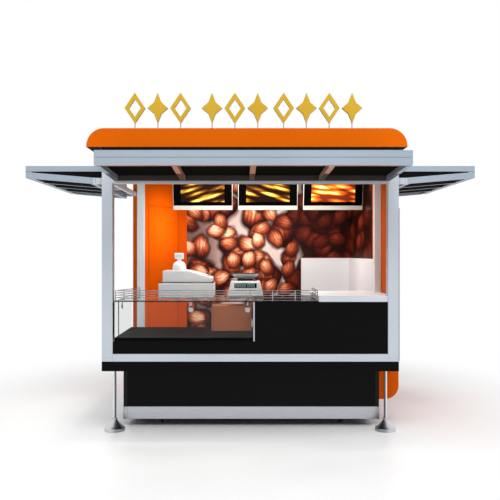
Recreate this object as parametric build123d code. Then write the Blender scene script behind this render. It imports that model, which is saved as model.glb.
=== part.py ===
from build123d import *
import math
import os

# Street kiosk on a 2.4 m square frame. Millimetres, +Z up, ground at Z = 0.
# The origin is on the ground at the middle of the frame's plan.
# The counter front faces -Y, and +X is to the right of a customer at the counter.

# Frame plan
frame_width = 2400
frame_depth = 2400
post_size = 88
side_post_size = 73
side_post_set_in = 40
side_opening_width = 1512
inner_post_size = 60
inner_post_behind_front = 510
post_edge = 3
seam = 0.4

# Heights, from the ground up
ground_gap = 65
kick_height = 105
base_wall_height = 356
deck_thick = 78
bottom_rail_height = 61
band_height = 102
display_floor_thick = 28
display_glass_height = 290
opening_height = 1441
beam_height = 40
header_height = 251
subframe_height = 36
side_beam_width = 35
side_beam_height = 42
side_beam_above_header = 27
roof_thick = 154

# Base cabinet under the deck
base_set_back = 330
base_left_set_in = 120
base_right_set_in = 98
base_wall_thick = 40
kick_thick = 30
floor_thick = 30
corner_profile_width = 34
corner_profile_thick = 3
castor_wheel_radius = 40
castor_wheel_width = 32
castor_wheel_chamfer = 4
castor_axle_radius = 6
castor_wheel_gap = 2
castor_fork_length = 58
castor_fork_foot_length = 30
castor_fork_below_axle = 12
castor_crown_clearance = 4
castor_crown_thick = 14
castor_head_diameter = 76
castor_head_neck_diameter = 50
small_rod_sides = 6
castor_plate_thick = 6
castor_plate_size = 100
castor_fork_width = 50
castor_side_inset = 311
castor_front_inset = 170
castor_back_inset = 300
castor_splay_inset = 471
leg_diameter = 29
leg_side_inset = 69
leg_behind_front = 200
foot_diameter = 172
foot_rim_height = 28
foot_rim_bevel = 5
foot_cone_height = 66
foot_waist_diameter = 92
foot_waist_height = 52
foot_cone_top_diameter = 38
leg_socket_diameter = 54
leg_socket_height = 16

# Orange shell: back wall, right side wall and roof
shell_overhang = 70
side_wall_inset = 44
back_wall_thick = 84
shell_drop = 292
shell_corner_radius = 115
roof_overhang_left = 126
roof_corner_radius = 145

# Splayed wall at the back left corner, with the entrance door
splay_back_inset = 431
splay_thick = 44
door_jamb = 69
door_opening = 600
door_gap = 6
door_floor_gap = 10
door_leaf_height = 1805
door_leaf_thick = 40
hinge_radius = 8
hinge_pin_radius = 4
hinge_pin_clearance = 0.5
hinge_axis_out = 10
hinge_barrel_height = 34
hinge_plate_thick = 3
hinge_plate_width = 42
hinge_play = 1
hinge_end_inset = 152
handle_above_floor = 880
handle_from_edge = 60
handle_rose_diameter = 50
handle_rose_thick = 8
handle_neck_diameter = 18
handle_neck_length = 42
handle_lever_length = 115
handle_lever_diameter = 18

# Counter and display
counter_set_back = 10
panel_thick = 30
display_side_gap = 12
display_width = 1130
display_depth = 848
glass_thick = 8
counter_top_width = 558
counter_depth = 753
counter_thick = 50
counter_edge_radius = 4
divider_thick = 20
divider_edge_width = 10
clamp_diameter = 44
clamp_thick = 9
clamp_chamfer = 2.5
clamp_neck_width = 12
clamp_drop = 63
clamps_from_divider = (509, 52)
clamp_behind_front = 376
display_box_from_divider = 14
display_box_width = 354
display_box_depth = 280
display_box_height = 219
display_box_behind_front = 528
display_box_board = 16

# Wire gallery on the worktop
gallery_wire = 5
gallery_post_width = 8
gallery_height = 87
gallery_levels = (5, 25, 45, 64, 83)
gallery_return_depth = 455
gallery_left_taper = 127
gallery_edge_set_in = 9
gallery_post_pitch = 172

# Canopies
canopy_above_beam = 110
canopy_rail_width = 50
canopy_end_rail_width = 35
cheek_set_in = 2
canopy_groove = 4
canopy_upper_share = 0.48
rafter_width = 40
front_rafter_height = 38
wing_rafter_height = 20
infill_top_gap = 3
front_canopy_projection = 790
front_canopy_edge = 105
front_canopy_drop = 29
front_canopy_side_gap = 3
front_canopy_offset = 14
wing_projection = 572
wing_edge = 99
wing_drop = 48
wing_length = 1548
wing_behind_front = 90
wing_rafters = 3
front_rafters = 3
bracket_length = 88
bracket_height = 54
bracket_thick = 5
hinge_block_width = 60
hinge_block_height = 28

# Menu screens
screen_count = 3
screen_width = 592
screen_height = 378
screen_depth = 46
screen_panel_depth = 24
screen_rear_inset = 66
screen_corner = 5
screen_rear_chamfer = 12
screen_pitch = 649
screen_wall_gap = 24
screen_below_roof = 424
screen_from_back_wall = 976
screen_tilt = 12
screen_glass_margin = 9
screen_glass_chin = 44
screen_glass_thick = 4
screen_glass_proud = 1
hanger_diameter = 34
hanger_plate = 90
hanger_plate_thick = 6
hanger_head = 60

# Graphic panels and splash panels
graphic_thick = 4
graphic_margin = 69
graphic_side_length = 1367
graphic_above_deck = 174
splash_back_width = 558
splash_side_length = 1516
splash_below_counter = 135
splash_above_counter = 292
splash_thick = 18

# Till, customer display and scale
till_from_display_end = 543
till_width = 480
till_behind_front = 630
till_depth = 390
drawer_height = 130
drawer_lid_set_in = 16
drawer_corner_radius = 8
till_body_width = 430
till_flat_width = 220
till_body_height = 105
till_body_low_height = 44
pole_from_body_left = 141
pole_from_body_front = 65
pole_foot_diameter = 122
pole_dome_diameter = 112
pole_dome_height = 62
pole_foot_height = 80
pole_shoulder = 18
pole_radius = 17
pole_height = 20
pole_display_width = 80
pole_display_height = 54
pole_display_depth = 46
pole_display_corner = 4
scale_from_divider = 68
scale_width = 316
scale_depth = 280
scale_behind_front = 630
scale_top_width = 258
scale_corner_radius = 10
scale_body_height = 140
scale_window_width = 199
scale_window_height = 43
scale_window_below_top = 16
scale_window_depth = 3
scale_neck_height = 28
scale_neck_width = 150
scale_neck_inset = 60
scale_tray_height = 38
scale_tray_width = 278
scale_tray_foot_width = 190
scale_tray_wall = 3

# Roof ornaments on pins
ornament_height = 250
ornament_width = 168
ornament_thick = 30
ornament_stroke = 36
ornament_inset = 30
ornament_pin_radius = 5
ornament_pin_height = 40
ornament_pin_socket = 4
star_inner_share = 0.52
ornament_starts = (391, 1016, 1596)
ornament_counts = (3, 3, 4)
ornament_pitch = 185

# Places that follow from the sizes above
left = -frame_width / 2
right = frame_width / 2
front = -frame_depth / 2
back = frame_depth / 2
z_base = ground_gap + kick_height
z_deck = z_base + base_wall_height
z_sill = z_deck + deck_thick
z_band = z_sill + bottom_rail_height
z_floor = z_band + band_height
z_display = z_floor + display_floor_thick
z_worktop = z_display + display_glass_height
z_counter = z_worktop + counter_thick
z_beam = z_sill + opening_height
z_header = z_beam + beam_height
z_roof = z_header + header_height
z_subframe = z_roof - subframe_height
side_beam_top = z_header + side_beam_above_header
side_beam_bottom = side_beam_top - side_beam_height
z_top = z_roof + roof_thick
panel_front = front + counter_set_back
post_back = front + post_size
base_front_y = front + base_set_back
base_left_x = left + base_left_set_in
base_right_x = right - base_right_set_in
display_back = panel_front + display_depth
counter_back = panel_front + counter_depth
back_wall_in = back - back_wall_thick
side_post_front = post_back + side_opening_width
side_post_back = side_post_front + side_post_size
side_post_left = left + side_post_set_in
side_post_right = side_post_left + side_post_size

shell_right_out = right + shell_overhang
wall_right_in = right - side_wall_inset
shell_bottom = z_deck - shell_drop
roof_left_end = left - roof_overhang_left
splay_back_x = left + splay_back_inset
door_bottom = z_base + door_floor_gap
door_top = door_bottom + door_leaf_height
hinge_heights = (door_bottom + hinge_end_inset, door_bottom + door_leaf_height / 2,
                 door_top - hinge_end_inset)
handle_height = z_base + handle_above_floor
display_left = left + post_size + display_side_gap
display_right = display_left + display_width
worktop_right = right - post_size - counter_top_width
clamp_height = z_worktop - clamp_drop
display_box_left = display_right - display_box_from_divider - display_box_width
canopy_top = z_header + canopy_above_beam
screen_bottom = z_roof - screen_below_roof
screen_y = back_wall_in - screen_from_back_wall
screen_last_x = wall_right_in - screen_wall_gap - screen_width / 2
graphic_bottom = z_deck + graphic_above_deck
till_middle_x = display_left + till_from_display_end
till_y = panel_front + till_behind_front
scale_middle_x = display_right - scale_from_divider
scale_y = panel_front + scale_behind_front

# The splayed wall's inner line runs from the side post's back corner to the back wall
splay_start = Vector(side_post_right, side_post_back, 0)
splay_end = Vector(splay_back_x, back_wall_in, 0)
splay_along = (splay_end - splay_start).normalized()
splay_out = Vector(-splay_along.Y, splay_along.X, 0)


def block(x0, x1, y0, y1, z0, z1):
    """A square-edged piece between two corners."""
    middle = ((x0 + x1) / 2, (y0 + y1) / 2, (z0 + z1) / 2)
    return Pos(*middle) * Box(x1 - x0, y1 - y0, z1 - z0)


def plan_prism(points, z0, z1):
    """A piece with a straight-sided plan, from z0 up to z1."""
    outline = Polyline(*[(x, y) for x, y in points], close=True)
    return Pos(0, 0, z0) * extrude(make_face(outline), z1 - z0)


def side_prism(points, y0, y1):
    """A piece whose section is given in X and Z, from y0 to y1."""
    outline = Polyline(*[(x, z) for x, z in points], close=True)
    face = Plane.XZ * make_face(outline)
    return Pos(0, y1, 0) * extrude(face, y1 - y0)


def rod(start, end, radius, sides=0):
    """A round bar from one point to another, or one with that many flat sides."""
    run = Vector(*end) - Vector(*start)
    plane = Plane(origin=start, z_dir=run)
    section = RegularPolygon(radius, sides) if sides else Circle(radius)
    return extrude(plane * section, run.length)


def at_splay(along, out):
    """Plan point at a distance along the splayed wall and out from its inner line."""
    spot = splay_start + splay_along * along + splay_out * out
    return (spot.X, spot.Y)


def on_splay(shape):
    """Turns a shape from (along, out, up) to its place at the splayed wall."""
    turn = Plane(origin=splay_start, x_dir=splay_along, z_dir=(0, 0, 1))
    return turn.location * shape


def save(name, *solids):
    """Writes one named sub-part."""
    shapes = [solid for item in solids for solid in item.solids()]
    export_step(shapes[0] if len(shapes) == 1 else Compound(children=shapes), f"parts/{name}.step")


def base_outline(inset):
    """Plan of the base cabinet, with the splayed corner, moved in by a distance."""
    outer = splay_thick - inset
    x0 = base_left_x + inset
    y1 = back - inset
    corner_low = splay_outer_at_x(x0, outer)
    corner_high = splay_outer_at_y(y1, outer)
    return [(x0, base_front_y + inset), (base_right_x - inset, base_front_y + inset),
            (base_right_x - inset, y1), corner_high, corner_low]


def splay_outer_at_x(x, out):
    """Plan point with the given x on a line parallel to the splayed wall."""
    spot = splay_start + splay_out * out
    reach = (x - spot.X) / splay_along.X
    return (x, spot.Y + splay_along.Y * reach)


def splay_outer_at_y(y, out):
    """Plan point with the given y on a line parallel to the splayed wall."""
    spot = splay_start + splay_out * out
    reach = (y - spot.Y) / splay_along.Y
    return (spot.X + splay_along.X * reach, y)


def make_base():
    """Base cabinet: floor, kick strips, walls and corner profiles."""
    save("base_floor", plan_prism(base_outline(kick_thick), z_base - floor_thick, z_base))

    outer = base_outline(0)
    inner = base_outline(kick_thick)
    strips = []
    for index, start in enumerate(outer):
        after = (index + 1) % len(outer)
        run = Vector(*outer[after], 0) - Vector(*start, 0)
        nudge = run.normalized() * (seam / 2)
        quad = [(start[0] + nudge.X, start[1] + nudge.Y),
                (outer[after][0] - nudge.X, outer[after][1] - nudge.Y),
                (inner[after][0] - nudge.X, inner[after][1] - nudge.Y),
                (inner[index][0] + nudge.X, inner[index][1] + nudge.Y)]
        strips.append(plan_prism(quad, ground_gap, z_base))
    save("kick_strips", *strips)

    wall_in = base_front_y + base_wall_thick
    save("base_walls",
         block(base_left_x, base_right_x, base_front_y, wall_in, z_base, z_deck),
         block(base_left_x, base_left_x + base_wall_thick, wall_in + seam, side_post_back,
               z_base, z_deck),
         block(base_right_x - base_wall_thick, base_right_x, wall_in + seam,
               back_wall_in - seam, z_base, z_deck),
         block(splay_back_x, base_right_x, back_wall_in, back, z_base, z_deck))

    face = base_front_y - corner_profile_thick
    save("base_corner_profiles", corner_angle(base_left_x, -1), corner_angle(base_right_x, 1),
         block(base_left_x, base_left_x + corner_profile_width, face, base_front_y,
               z_base, z_deck),
         block(base_right_x - corner_profile_width, base_right_x, face, base_front_y,
               z_base, z_deck))


def corner_angle(x, side):
    """Angle profile round a front corner of the kick, on the left (-1) or the right (1)."""
    out_x = x + side * corner_profile_thick
    in_x = x - side * corner_profile_width
    face = base_front_y - corner_profile_thick
    end = face + corner_profile_width
    return plan_prism([(out_x, face), (in_x, face), (in_x, base_front_y), (x, base_front_y),
                       (x, end), (out_x, end)], ground_gap, z_base - seam)


def castor():
    """One castor, from its wheel on the ground to its plate under the floor."""
    top = z_base - floor_thick
    wheel = Rot(0, 90, 0) * Cylinder(castor_wheel_radius, castor_wheel_width)
    wheel = chamfer(wheel.edges().filter_by(GeomType.CIRCLE), castor_wheel_chamfer)
    wheel = Pos(0, 0, castor_wheel_radius) * wheel
    plate = block(-castor_plate_size / 2, castor_plate_size / 2, -castor_plate_size / 2,
                  castor_plate_size / 2, top - castor_plate_thick, top)
    fork_half = castor_fork_width / 2
    cheek = (fork_half - castor_wheel_width / 2) - castor_wheel_gap
    slot_top = 2 * castor_wheel_radius + castor_crown_clearance
    crown_top = slot_top + castor_crown_thick
    foot = castor_fork_foot_length / 2
    wide = castor_fork_length / 2
    fork_bottom = castor_wheel_radius - castor_fork_below_axle
    outline = Polyline((-foot, fork_bottom), (foot, fork_bottom), (wide, slot_top),
                       (wide, crown_top), (-wide, crown_top), (-wide, slot_top), close=True)
    fork = Pos(-fork_half, 0, 0) * extrude(Plane.YZ * make_face(outline), 2 * fork_half)
    slot = block(-fork_half + cheek, fork_half - cheek, -castor_wheel_radius,
                 castor_wheel_radius, 0, slot_top)
    head_height = top - castor_plate_thick - crown_top
    head = Cone(castor_head_neck_diameter / 2, castor_head_diameter / 2, head_height)
    head = Pos(0, 0, crown_top + head_height / 2) * head
    axle = rod((-fork_half, 0, castor_wheel_radius), (fork_half, 0, castor_wheel_radius),
               castor_axle_radius, small_rod_sides)
    return wheel + plate + (fork - slot) + head + axle


def make_ground_supports():
    """Four castors under the floor and two legs with levelling feet at the front."""
    front_y = base_front_y + castor_front_inset
    back_y = back - castor_back_inset
    right_x = base_right_x - castor_side_inset
    places = ((base_left_x + castor_side_inset, front_y), (right_x, front_y),
              (base_left_x + castor_splay_inset, back_y), (right_x, back_y))
    save("castors", *[Pos(x, y, 0) * castor() for x, y in places])

    legs = []
    for x in (left + leg_side_inset, right - leg_side_inset):
        place = Pos(x, front + leg_behind_front, 0)
        half = foot_diameter / 2
        neck = foot_cone_top_diameter / 2
        cone_top = foot_rim_height + foot_cone_height
        profile = Polyline((0, 0), (half - foot_rim_bevel, 0), (half, foot_rim_bevel),
                           (half, foot_rim_height - foot_rim_bevel),
                           (half - foot_rim_bevel, foot_rim_height),
                           (foot_waist_diameter / 2, foot_waist_height),
                           (neck, cone_top), (leg_diameter / 2, cone_top),
                           (leg_diameter / 2, z_deck - leg_socket_height),
                           (leg_socket_diameter / 2, z_deck - leg_socket_height),
                           (leg_socket_diameter / 2, z_deck), (0, z_deck), close=True)
        legs.append(place * revolve(Plane.XZ * make_face(profile), Axis.Z))
    save("front_legs", *legs)


def make_deck():
    """Deck plate under the counter and the ledge along the left side."""
    deck_plan = [(left, front), (right, front), (right, base_front_y),
                 (wall_right_in, base_front_y), (wall_right_in, display_back),
                 (left, display_back)]
    ledge_front = display_back + seam
    ledge_plan = [(left, ledge_front), (base_left_x + base_wall_thick, ledge_front),
                  (base_left_x + base_wall_thick, side_post_front),
                  (side_post_right, side_post_back), (left, side_post_back)]
    save("deck", plan_prism(deck_plan, z_deck, z_sill), plan_prism(ledge_plan, z_deck, z_sill))


def post(x, y, size, z0, z1):
    """A square post with eased edges, given by its left front corner."""
    shape = block(x, x + size, y, y + size, z0, z1)
    return chamfer(shape.edges().filter_by(Axis.Z), post_edge)


def make_posts():
    """Aluminium posts with eased edges, from the deck to the roof."""
    save("front_posts",
         post(left, front, post_size, z_sill, z_beam),
         post(right - post_size, front, post_size, z_sill, z_beam),
         post(left, front, post_size, z_header, z_subframe),
         post(right - post_size, front, post_size, z_header, z_subframe))
    save("inner_posts",
         post(side_post_left, side_post_front, side_post_size, z_sill, z_roof),
         post(wall_right_in - inner_post_size, front + inner_post_behind_front,
              inner_post_size, z_counter, z_roof))


def make_rails():
    """Bottom rail, ring beam on the posts, front header panel and roof sub-frame."""
    save("bottom_rail",
         block(left + post_size, right - post_size, front, post_back, z_sill, z_band),
         block(left, left + post_size, post_back, side_post_front, z_sill, z_band))
    save("ring_beam",
         block(left, right, front, post_back, z_beam, z_header),
         block(left, left + side_beam_width, post_back, side_post_front,
               side_beam_bottom, side_beam_top))
    set_in = counter_set_back
    save("header_panels",
         block(left + post_size, right - post_size, front + set_in,
               front + set_in + panel_thick, z_header, z_subframe),
         block(left, right, front, post_back, z_subframe, z_roof),
         block(left, left + post_size, post_back + seam, side_post_front - seam,
               z_subframe, z_roof))


def make_shell():
    """Roof slab, thick right side wall, back wall and the small infill panels."""
    roof = block(roof_left_end, shell_right_out, front, back, z_roof, z_top)
    ends = roof.edges().filter_by(Axis.Y).group_by(Axis.Z)[-1]
    roof = fillet(ends, roof_corner_radius)
    save("roof", roof)

    wall_section = [(base_right_x, shell_bottom), (shell_right_out, shell_bottom),
                    (shell_right_out, z_roof), (wall_right_in, z_roof),
                    (wall_right_in, z_deck), (base_right_x, z_deck)]
    wall = side_prism(wall_section, base_front_y, back)
    corner = wall.edges().filter_by(Axis.Y).group_by(Axis.Z)[0].sort_by(Axis.X)[-1]
    save("shell_right", fillet(corner, shell_corner_radius))

    save("back_wall", block(splay_back_x, wall_right_in, back_wall_in, back, z_deck, z_roof))
    save("side_infills",
         block(wall_right_in, right, post_back, base_front_y, z_sill, z_roof),
         block(left, side_post_left, side_post_front, side_post_back, z_sill, z_roof))


def make_splay_wall():
    """Splayed wall: two jambs and the panel over the entrance door."""
    jamb_end = door_jamb
    door_end = door_jamb + door_opening
    outer_start = splay_outer_at_y(side_post_back, splay_thick)
    left_plan = [(side_post_right, side_post_back), outer_start,
                 at_splay(jamb_end, splay_thick), at_splay(jamb_end, 0)]
    corner_out = splay_outer_at_y(back, splay_thick)
    right_plan = [at_splay(door_end, 0), at_splay(door_end, splay_thick), corner_out,
                  (splay_back_x, back), (splay_back_x, back_wall_in)]
    over_plan = [at_splay(jamb_end + seam, 0), at_splay(jamb_end + seam, splay_thick),
                 at_splay(door_end - seam, splay_thick), at_splay(door_end - seam, 0)]
    save("door_surround", plan_prism(left_plan, z_base, z_roof),
         plan_prism(right_plan, z_base, z_roof),
         plan_prism(over_plan, door_top + door_gap, z_roof))


def hinge_parts():
    """Fixed and moving hinge knuckles in (along, out, up), at the door's hinge line."""
    axis_s = door_jamb + door_gap / 2
    axis_w = splay_thick + hinge_axis_out
    fixed = []
    moving = []
    for height in hinge_heights:
        low = Pos(axis_s, axis_w, height) * Cylinder(
            hinge_radius, hinge_barrel_height, align=(Align.CENTER, Align.CENTER, Align.MAX))
        pin = Pos(axis_s, axis_w, height - hinge_play) * Cylinder(
            hinge_pin_radius, hinge_barrel_height + 2 * hinge_play,
            align=(Align.CENTER, Align.CENTER, Align.MIN))
        plate = block(axis_s - hinge_plate_width, axis_s, splay_thick,
                      splay_thick + hinge_plate_thick, height - hinge_barrel_height, height)
        fixed.append(low + pin + plate)
        bottom = height + hinge_play
        high = Pos(axis_s, axis_w, bottom) * Cylinder(
            hinge_radius, hinge_barrel_height, align=(Align.CENTER, Align.CENTER, Align.MIN))
        bore = Pos(axis_s, axis_w, bottom) * Cylinder(
            hinge_pin_radius + hinge_pin_clearance, hinge_barrel_height,
            align=(Align.CENTER, Align.CENTER, Align.MIN))
        leaf = block(axis_s, axis_s + hinge_plate_width, splay_thick,
                     splay_thick + hinge_plate_thick, bottom, bottom + hinge_barrel_height)
        moving.append((high + leaf) - bore)
    return fixed, moving


def lever(side_sign, face_w, along):
    """A lever handle on one face of the door, in (along, out, up)."""
    lever_w = face_w + side_sign * (handle_rose_thick + handle_neck_length)
    rose = rod((along, face_w, handle_height),
               (along, face_w + side_sign * handle_rose_thick, handle_height),
               handle_rose_diameter / 2)
    neck = rod((along, face_w, handle_height), (along, lever_w, handle_height),
               handle_neck_diameter / 2)
    half = handle_lever_diameter / 2
    bar = rod((along + half, lever_w, handle_height),
              (along - handle_lever_length, lever_w, handle_height), half)
    return rose + neck + bar


def make_door():
    """Entrance door leaf with its hinges and lever handles."""
    fixed, moving = hinge_parts()
    save("door_hinges_fixed", *[on_splay(item) for item in fixed])
    save("door_hinges_moving", *[on_splay(item) for item in moving])
    leaf_start = door_jamb + door_gap
    leaf_end = door_jamb + door_opening - door_gap
    outer = splay_thick
    leaf = block(leaf_start, leaf_end, outer - door_leaf_thick, outer,
                 door_bottom, door_top)
    save("door_leaf", on_splay(leaf))
    along = leaf_end - handle_from_edge
    save("door_handles", on_splay(lever(1, outer, along)),
         on_splay(lever(-1, outer - door_leaf_thick, along)))


def make_counter():
    """Front band, display floor, cabinet panels, counter top and divider."""
    inner_left = left + post_size
    inner_right = right - post_size
    save("front_band", block(inner_left, inner_right, panel_front, panel_front + panel_thick,
                             z_band, z_floor))
    save("display_floor", block(display_left, display_right, panel_front, display_back,
                                z_floor, z_display))
    band_back = panel_front + panel_thick
    save("cabinet_panels",
         block(display_left, display_left + divider_thick, post_back, display_back - panel_thick,
               z_sill, z_floor),
         block(display_left, display_right, display_back - panel_thick + seam, display_back,
               z_sill, z_floor),
         block(display_right + seam, display_right + divider_thick, post_back, display_back,
               z_sill, z_floor),
         block(display_right + divider_thick + seam, wall_right_in, counter_back - panel_thick,
               counter_back, z_sill, z_worktop))
    save("divider", block(display_right, display_right + divider_thick, band_back,
                          display_back, z_floor, z_worktop))
    edge_left = display_right - divider_edge_width / 2
    save("divider_edge", block(edge_left, edge_left + divider_edge_width, panel_front - 2,
                               panel_front, z_floor, z_worktop))
    save("counter_front", block(display_right, inner_right, panel_front, band_back,
                                z_floor, z_worktop))
    top_plan = [(worktop_right, panel_front), (inner_right, panel_front),
                (inner_right, post_back), (wall_right_in, post_back),
                (wall_right_in, counter_back), (worktop_right, counter_back)]
    top = plan_prism(top_plan, z_worktop, z_counter)
    front_edges = top.edges().filter_by(Axis.X).group_by(Axis.Y)[0]
    save("counter_top", fillet(front_edges, counter_edge_radius))


def make_display():
    """Glass panes, their clamps, the worktop glass and the box inside the display."""
    pane_back = panel_front + glass_thick
    save("display_glass",
         block(display_left, display_right, panel_front, pane_back, z_display, z_worktop),
         block(display_left, display_left + glass_thick, pane_back + seam, display_back,
               z_display, z_worktop))
    save("glass_worktop", block(display_left, worktop_right, panel_front, display_back,
                                z_worktop, z_worktop + glass_thick))
    clamps = []
    for distance in clamps_from_divider:
        clamps.append(Pos(display_right - distance, panel_front, 0) * clamp())
    side = Rot(0, 0, -90) * clamp()
    clamps.append(Pos(display_left, panel_front + clamp_behind_front, 0) * side)
    save("glass_clamps", *clamps)

    box_front = front + display_box_behind_front
    box = block(display_box_left, display_box_left + display_box_width, box_front,
                box_front + display_box_depth, z_display, z_display + display_box_height)
    board = display_box_board
    hollow = block(display_box_left + board, display_box_left + display_box_width - board,
                   box_front + board, box_front + display_box_depth + board,
                   z_display + board, z_display + display_box_height - board)
    save("display_box", box - hollow)


def clamp():
    """A round glass clamp on the outside of a pane that faces -Y, hung from the worktop."""
    disc = rod((0, 0, clamp_height), (0, -clamp_thick, clamp_height), clamp_diameter / 2)
    rims = disc.edges().filter_by(GeomType.CIRCLE).group_by(Axis.Y)[0]
    disc = chamfer(rims, clamp_chamfer)
    half = clamp_neck_width / 2
    neck = block(-half, half, -clamp_thick * 0.7, 0, clamp_height, z_worktop)
    return disc + neck


def fence(points, start_index, end_gap):
    """Flat wire fence along one run, with posts and level wires."""
    start, end = points
    run = Vector(*end, 0) - Vector(*start, 0)
    count = max(1, round(run.length / gallery_post_pitch))
    pieces = []
    foot = z_worktop + glass_thick
    turn = math.degrees(math.atan2(run.Y, run.X))
    for index in range(start_index, count + 1):
        spot = Vector(*start, 0) + run * (index / count)
        post = Box(gallery_post_width, gallery_post_width, gallery_height,
                   align=(Align.CENTER, Align.CENTER, Align.MIN))
        pieces.append(Pos(spot.X, spot.Y, foot) * Rot(0, 0, turn) * post)
    middle = Vector(*start, 0) + run.normalized() * (run.length + end_gap) / 2
    for level in gallery_levels:
        wire = Box(run.length - end_gap, gallery_wire, gallery_wire)
        pieces.append(Pos(middle.X, middle.Y, foot + level) * Rot(0, 0, turn) * wire)
    return pieces[0].fuse(*pieces[1:])


def make_gallery():
    """Low wire gallery round the front of the worktop."""
    x0 = display_left + gallery_edge_set_in
    x1 = worktop_right - gallery_edge_set_in
    y0 = panel_front + gallery_edge_set_in
    y1 = y0 + gallery_return_depth
    gap = gallery_post_width / 2 + seam
    save("wire_gallery",
         fence(((x0, y0), (x1, y0)), 0, 0),
         fence(((x0, y0), (x0 + gallery_left_taper, y1)), 1, gap),
         fence(((x1, y0), (x1, y1)), 1, gap))


def canopy(projection, length, edge, drop, rafters, rafter_height, reach):
    """Frame and infill of one canopy: +X runs out from its root, +Y along its length.

    The rails of its first end reach back past the root, to the post beside them.
    """
    upper_height = canopy_upper_share * edge - canopy_groove / 2
    lower_height = edge - upper_height - canopy_groove
    tip_bottom = canopy_top - edge
    root_bottom = tip_bottom - drop
    tip_in = projection - canopy_rail_width

    def bottom_at(x):
        return root_bottom + drop * x / projection

    def sloped(x0, x1, low, height, y0, y1):
        section = [(x0, bottom_at(x0) + low), (x1, bottom_at(x1) + low),
                   (x1, bottom_at(x1) + low + height), (x0, bottom_at(x0) + low + height)]
        return side_prism(section, y0, y1)

    rail = canopy_rail_width
    frame = block(tip_in, projection, 0, length, tip_bottom, canopy_top)
    upper = canopy_top - upper_height
    groove = block(projection - canopy_groove, projection, 0, length,
                   upper - canopy_groove, upper)
    frame = frame - groove
    for y in (0, length - canopy_groove):
        frame = frame - block(tip_in - 1, projection, y, y + canopy_groove,
                              upper - canopy_groove, upper)
    end_rail = canopy_end_rail_width
    for y, root in ((0, -reach), (length - end_rail, 0)):
        frame = frame + sloped(root, tip_in + 1, 0, lower_height, y, y + end_rail)
        frame = frame + block(root, tip_in + 1, y, y + end_rail, upper, canopy_top)
    frame = frame + sloped(0, rail, 0, lower_height, 0, length)
    frame = frame + block(0, rail, 0, length, upper, canopy_top)
    for index in range(rafters):
        y = length * (index + 1) / (rafters + 1) - rafter_width / 2
        frame = frame + sloped(rail - 1, tip_in + 1, 0, rafter_height, y, y + rafter_width)

    top = canopy_top - infill_top_gap
    infill_section = [(rail, bottom_at(rail) + rafter_height),
                      (tip_in, bottom_at(tip_in) + rafter_height),
                      (tip_in, top), (rail, top)]
    infill = side_prism(infill_section, end_rail, length - end_rail)
    cheeks = []
    for y0, y1, root in ((cheek_set_in, end_rail - seam, -reach),
                         (length - end_rail + seam, length - cheek_set_in, 0)):
        section = [(root, bottom_at(root) + lower_height),
                   (tip_in, bottom_at(tip_in) + lower_height), (tip_in, upper), (root, upper)]
        cheeks.append(side_prism(section, y0, y1))
    return frame, [infill, *cheeks]


def make_canopies():
    """Front canopy, two side canopies and the brackets that carry them."""
    inner_width = frame_width - 2 * post_size - 2 * front_canopy_side_gap
    frame, infill = canopy(front_canopy_projection, inner_width, front_canopy_edge,
                           front_canopy_drop, front_rafters, front_rafter_height, 0)
    place = Pos(front_canopy_offset - inner_width / 2, front, 0) * Rot(0, 0, -90)
    save("canopy_front_frame", place * frame)
    infills = [place * item for item in infill]

    reach = shell_right_out - right
    frame, infill = canopy(wing_projection, wing_length, wing_edge, wing_drop, wing_rafters,
                           wing_rafter_height, reach)
    start = front + wing_behind_front
    right_place = Pos(shell_right_out, start, 0)
    save("canopy_right_frame", right_place * frame)
    save("canopy_left_frame", mirror(right_place * frame, Plane.YZ))
    infills += [right_place * item for item in infill]
    infills += [mirror(right_place * item, Plane.YZ) for item in infill]
    save("canopy_infills", *infills)

    brackets = []
    low = canopy_top - wing_edge - wing_drop
    for side in (-1, 1):
        ends = sorted((side * right, side * (right + bracket_length)))
        brackets.append(block(*ends, start - bracket_thick, start, low - bracket_thick,
                              low - bracket_thick + bracket_height))
    for y in (start + (wing_length - hinge_block_width) / 2,
              start + wing_length - hinge_block_width):
        brackets.append(block(left - reach, left, y, y + hinge_block_width,
                              side_beam_bottom, side_beam_bottom + hinge_block_height))
    save("canopy_brackets", *brackets)


def make_graphics():
    """Graphic panels on the back and right walls, and the white splash panels."""
    face_y = back_wall_in - graphic_thick
    face_x = wall_right_in - graphic_thick
    save("graphic_panels",
         block(splay_back_x + graphic_margin, wall_right_in, face_y, back_wall_in,
               graphic_bottom, z_roof),
         block(face_x, wall_right_in, back_wall_in - graphic_side_length, face_y - seam,
               graphic_bottom, z_roof))
    bottom = z_counter - splash_below_counter
    top = z_counter + splash_above_counter
    save("splash_panels",
         block(wall_right_in - splash_back_width, face_x, face_y - splash_thick, face_y,
               bottom, top),
         block(face_x - splash_thick, face_x, back_wall_in - splash_side_length,
               face_y - splash_thick - seam, bottom, top))


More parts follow.
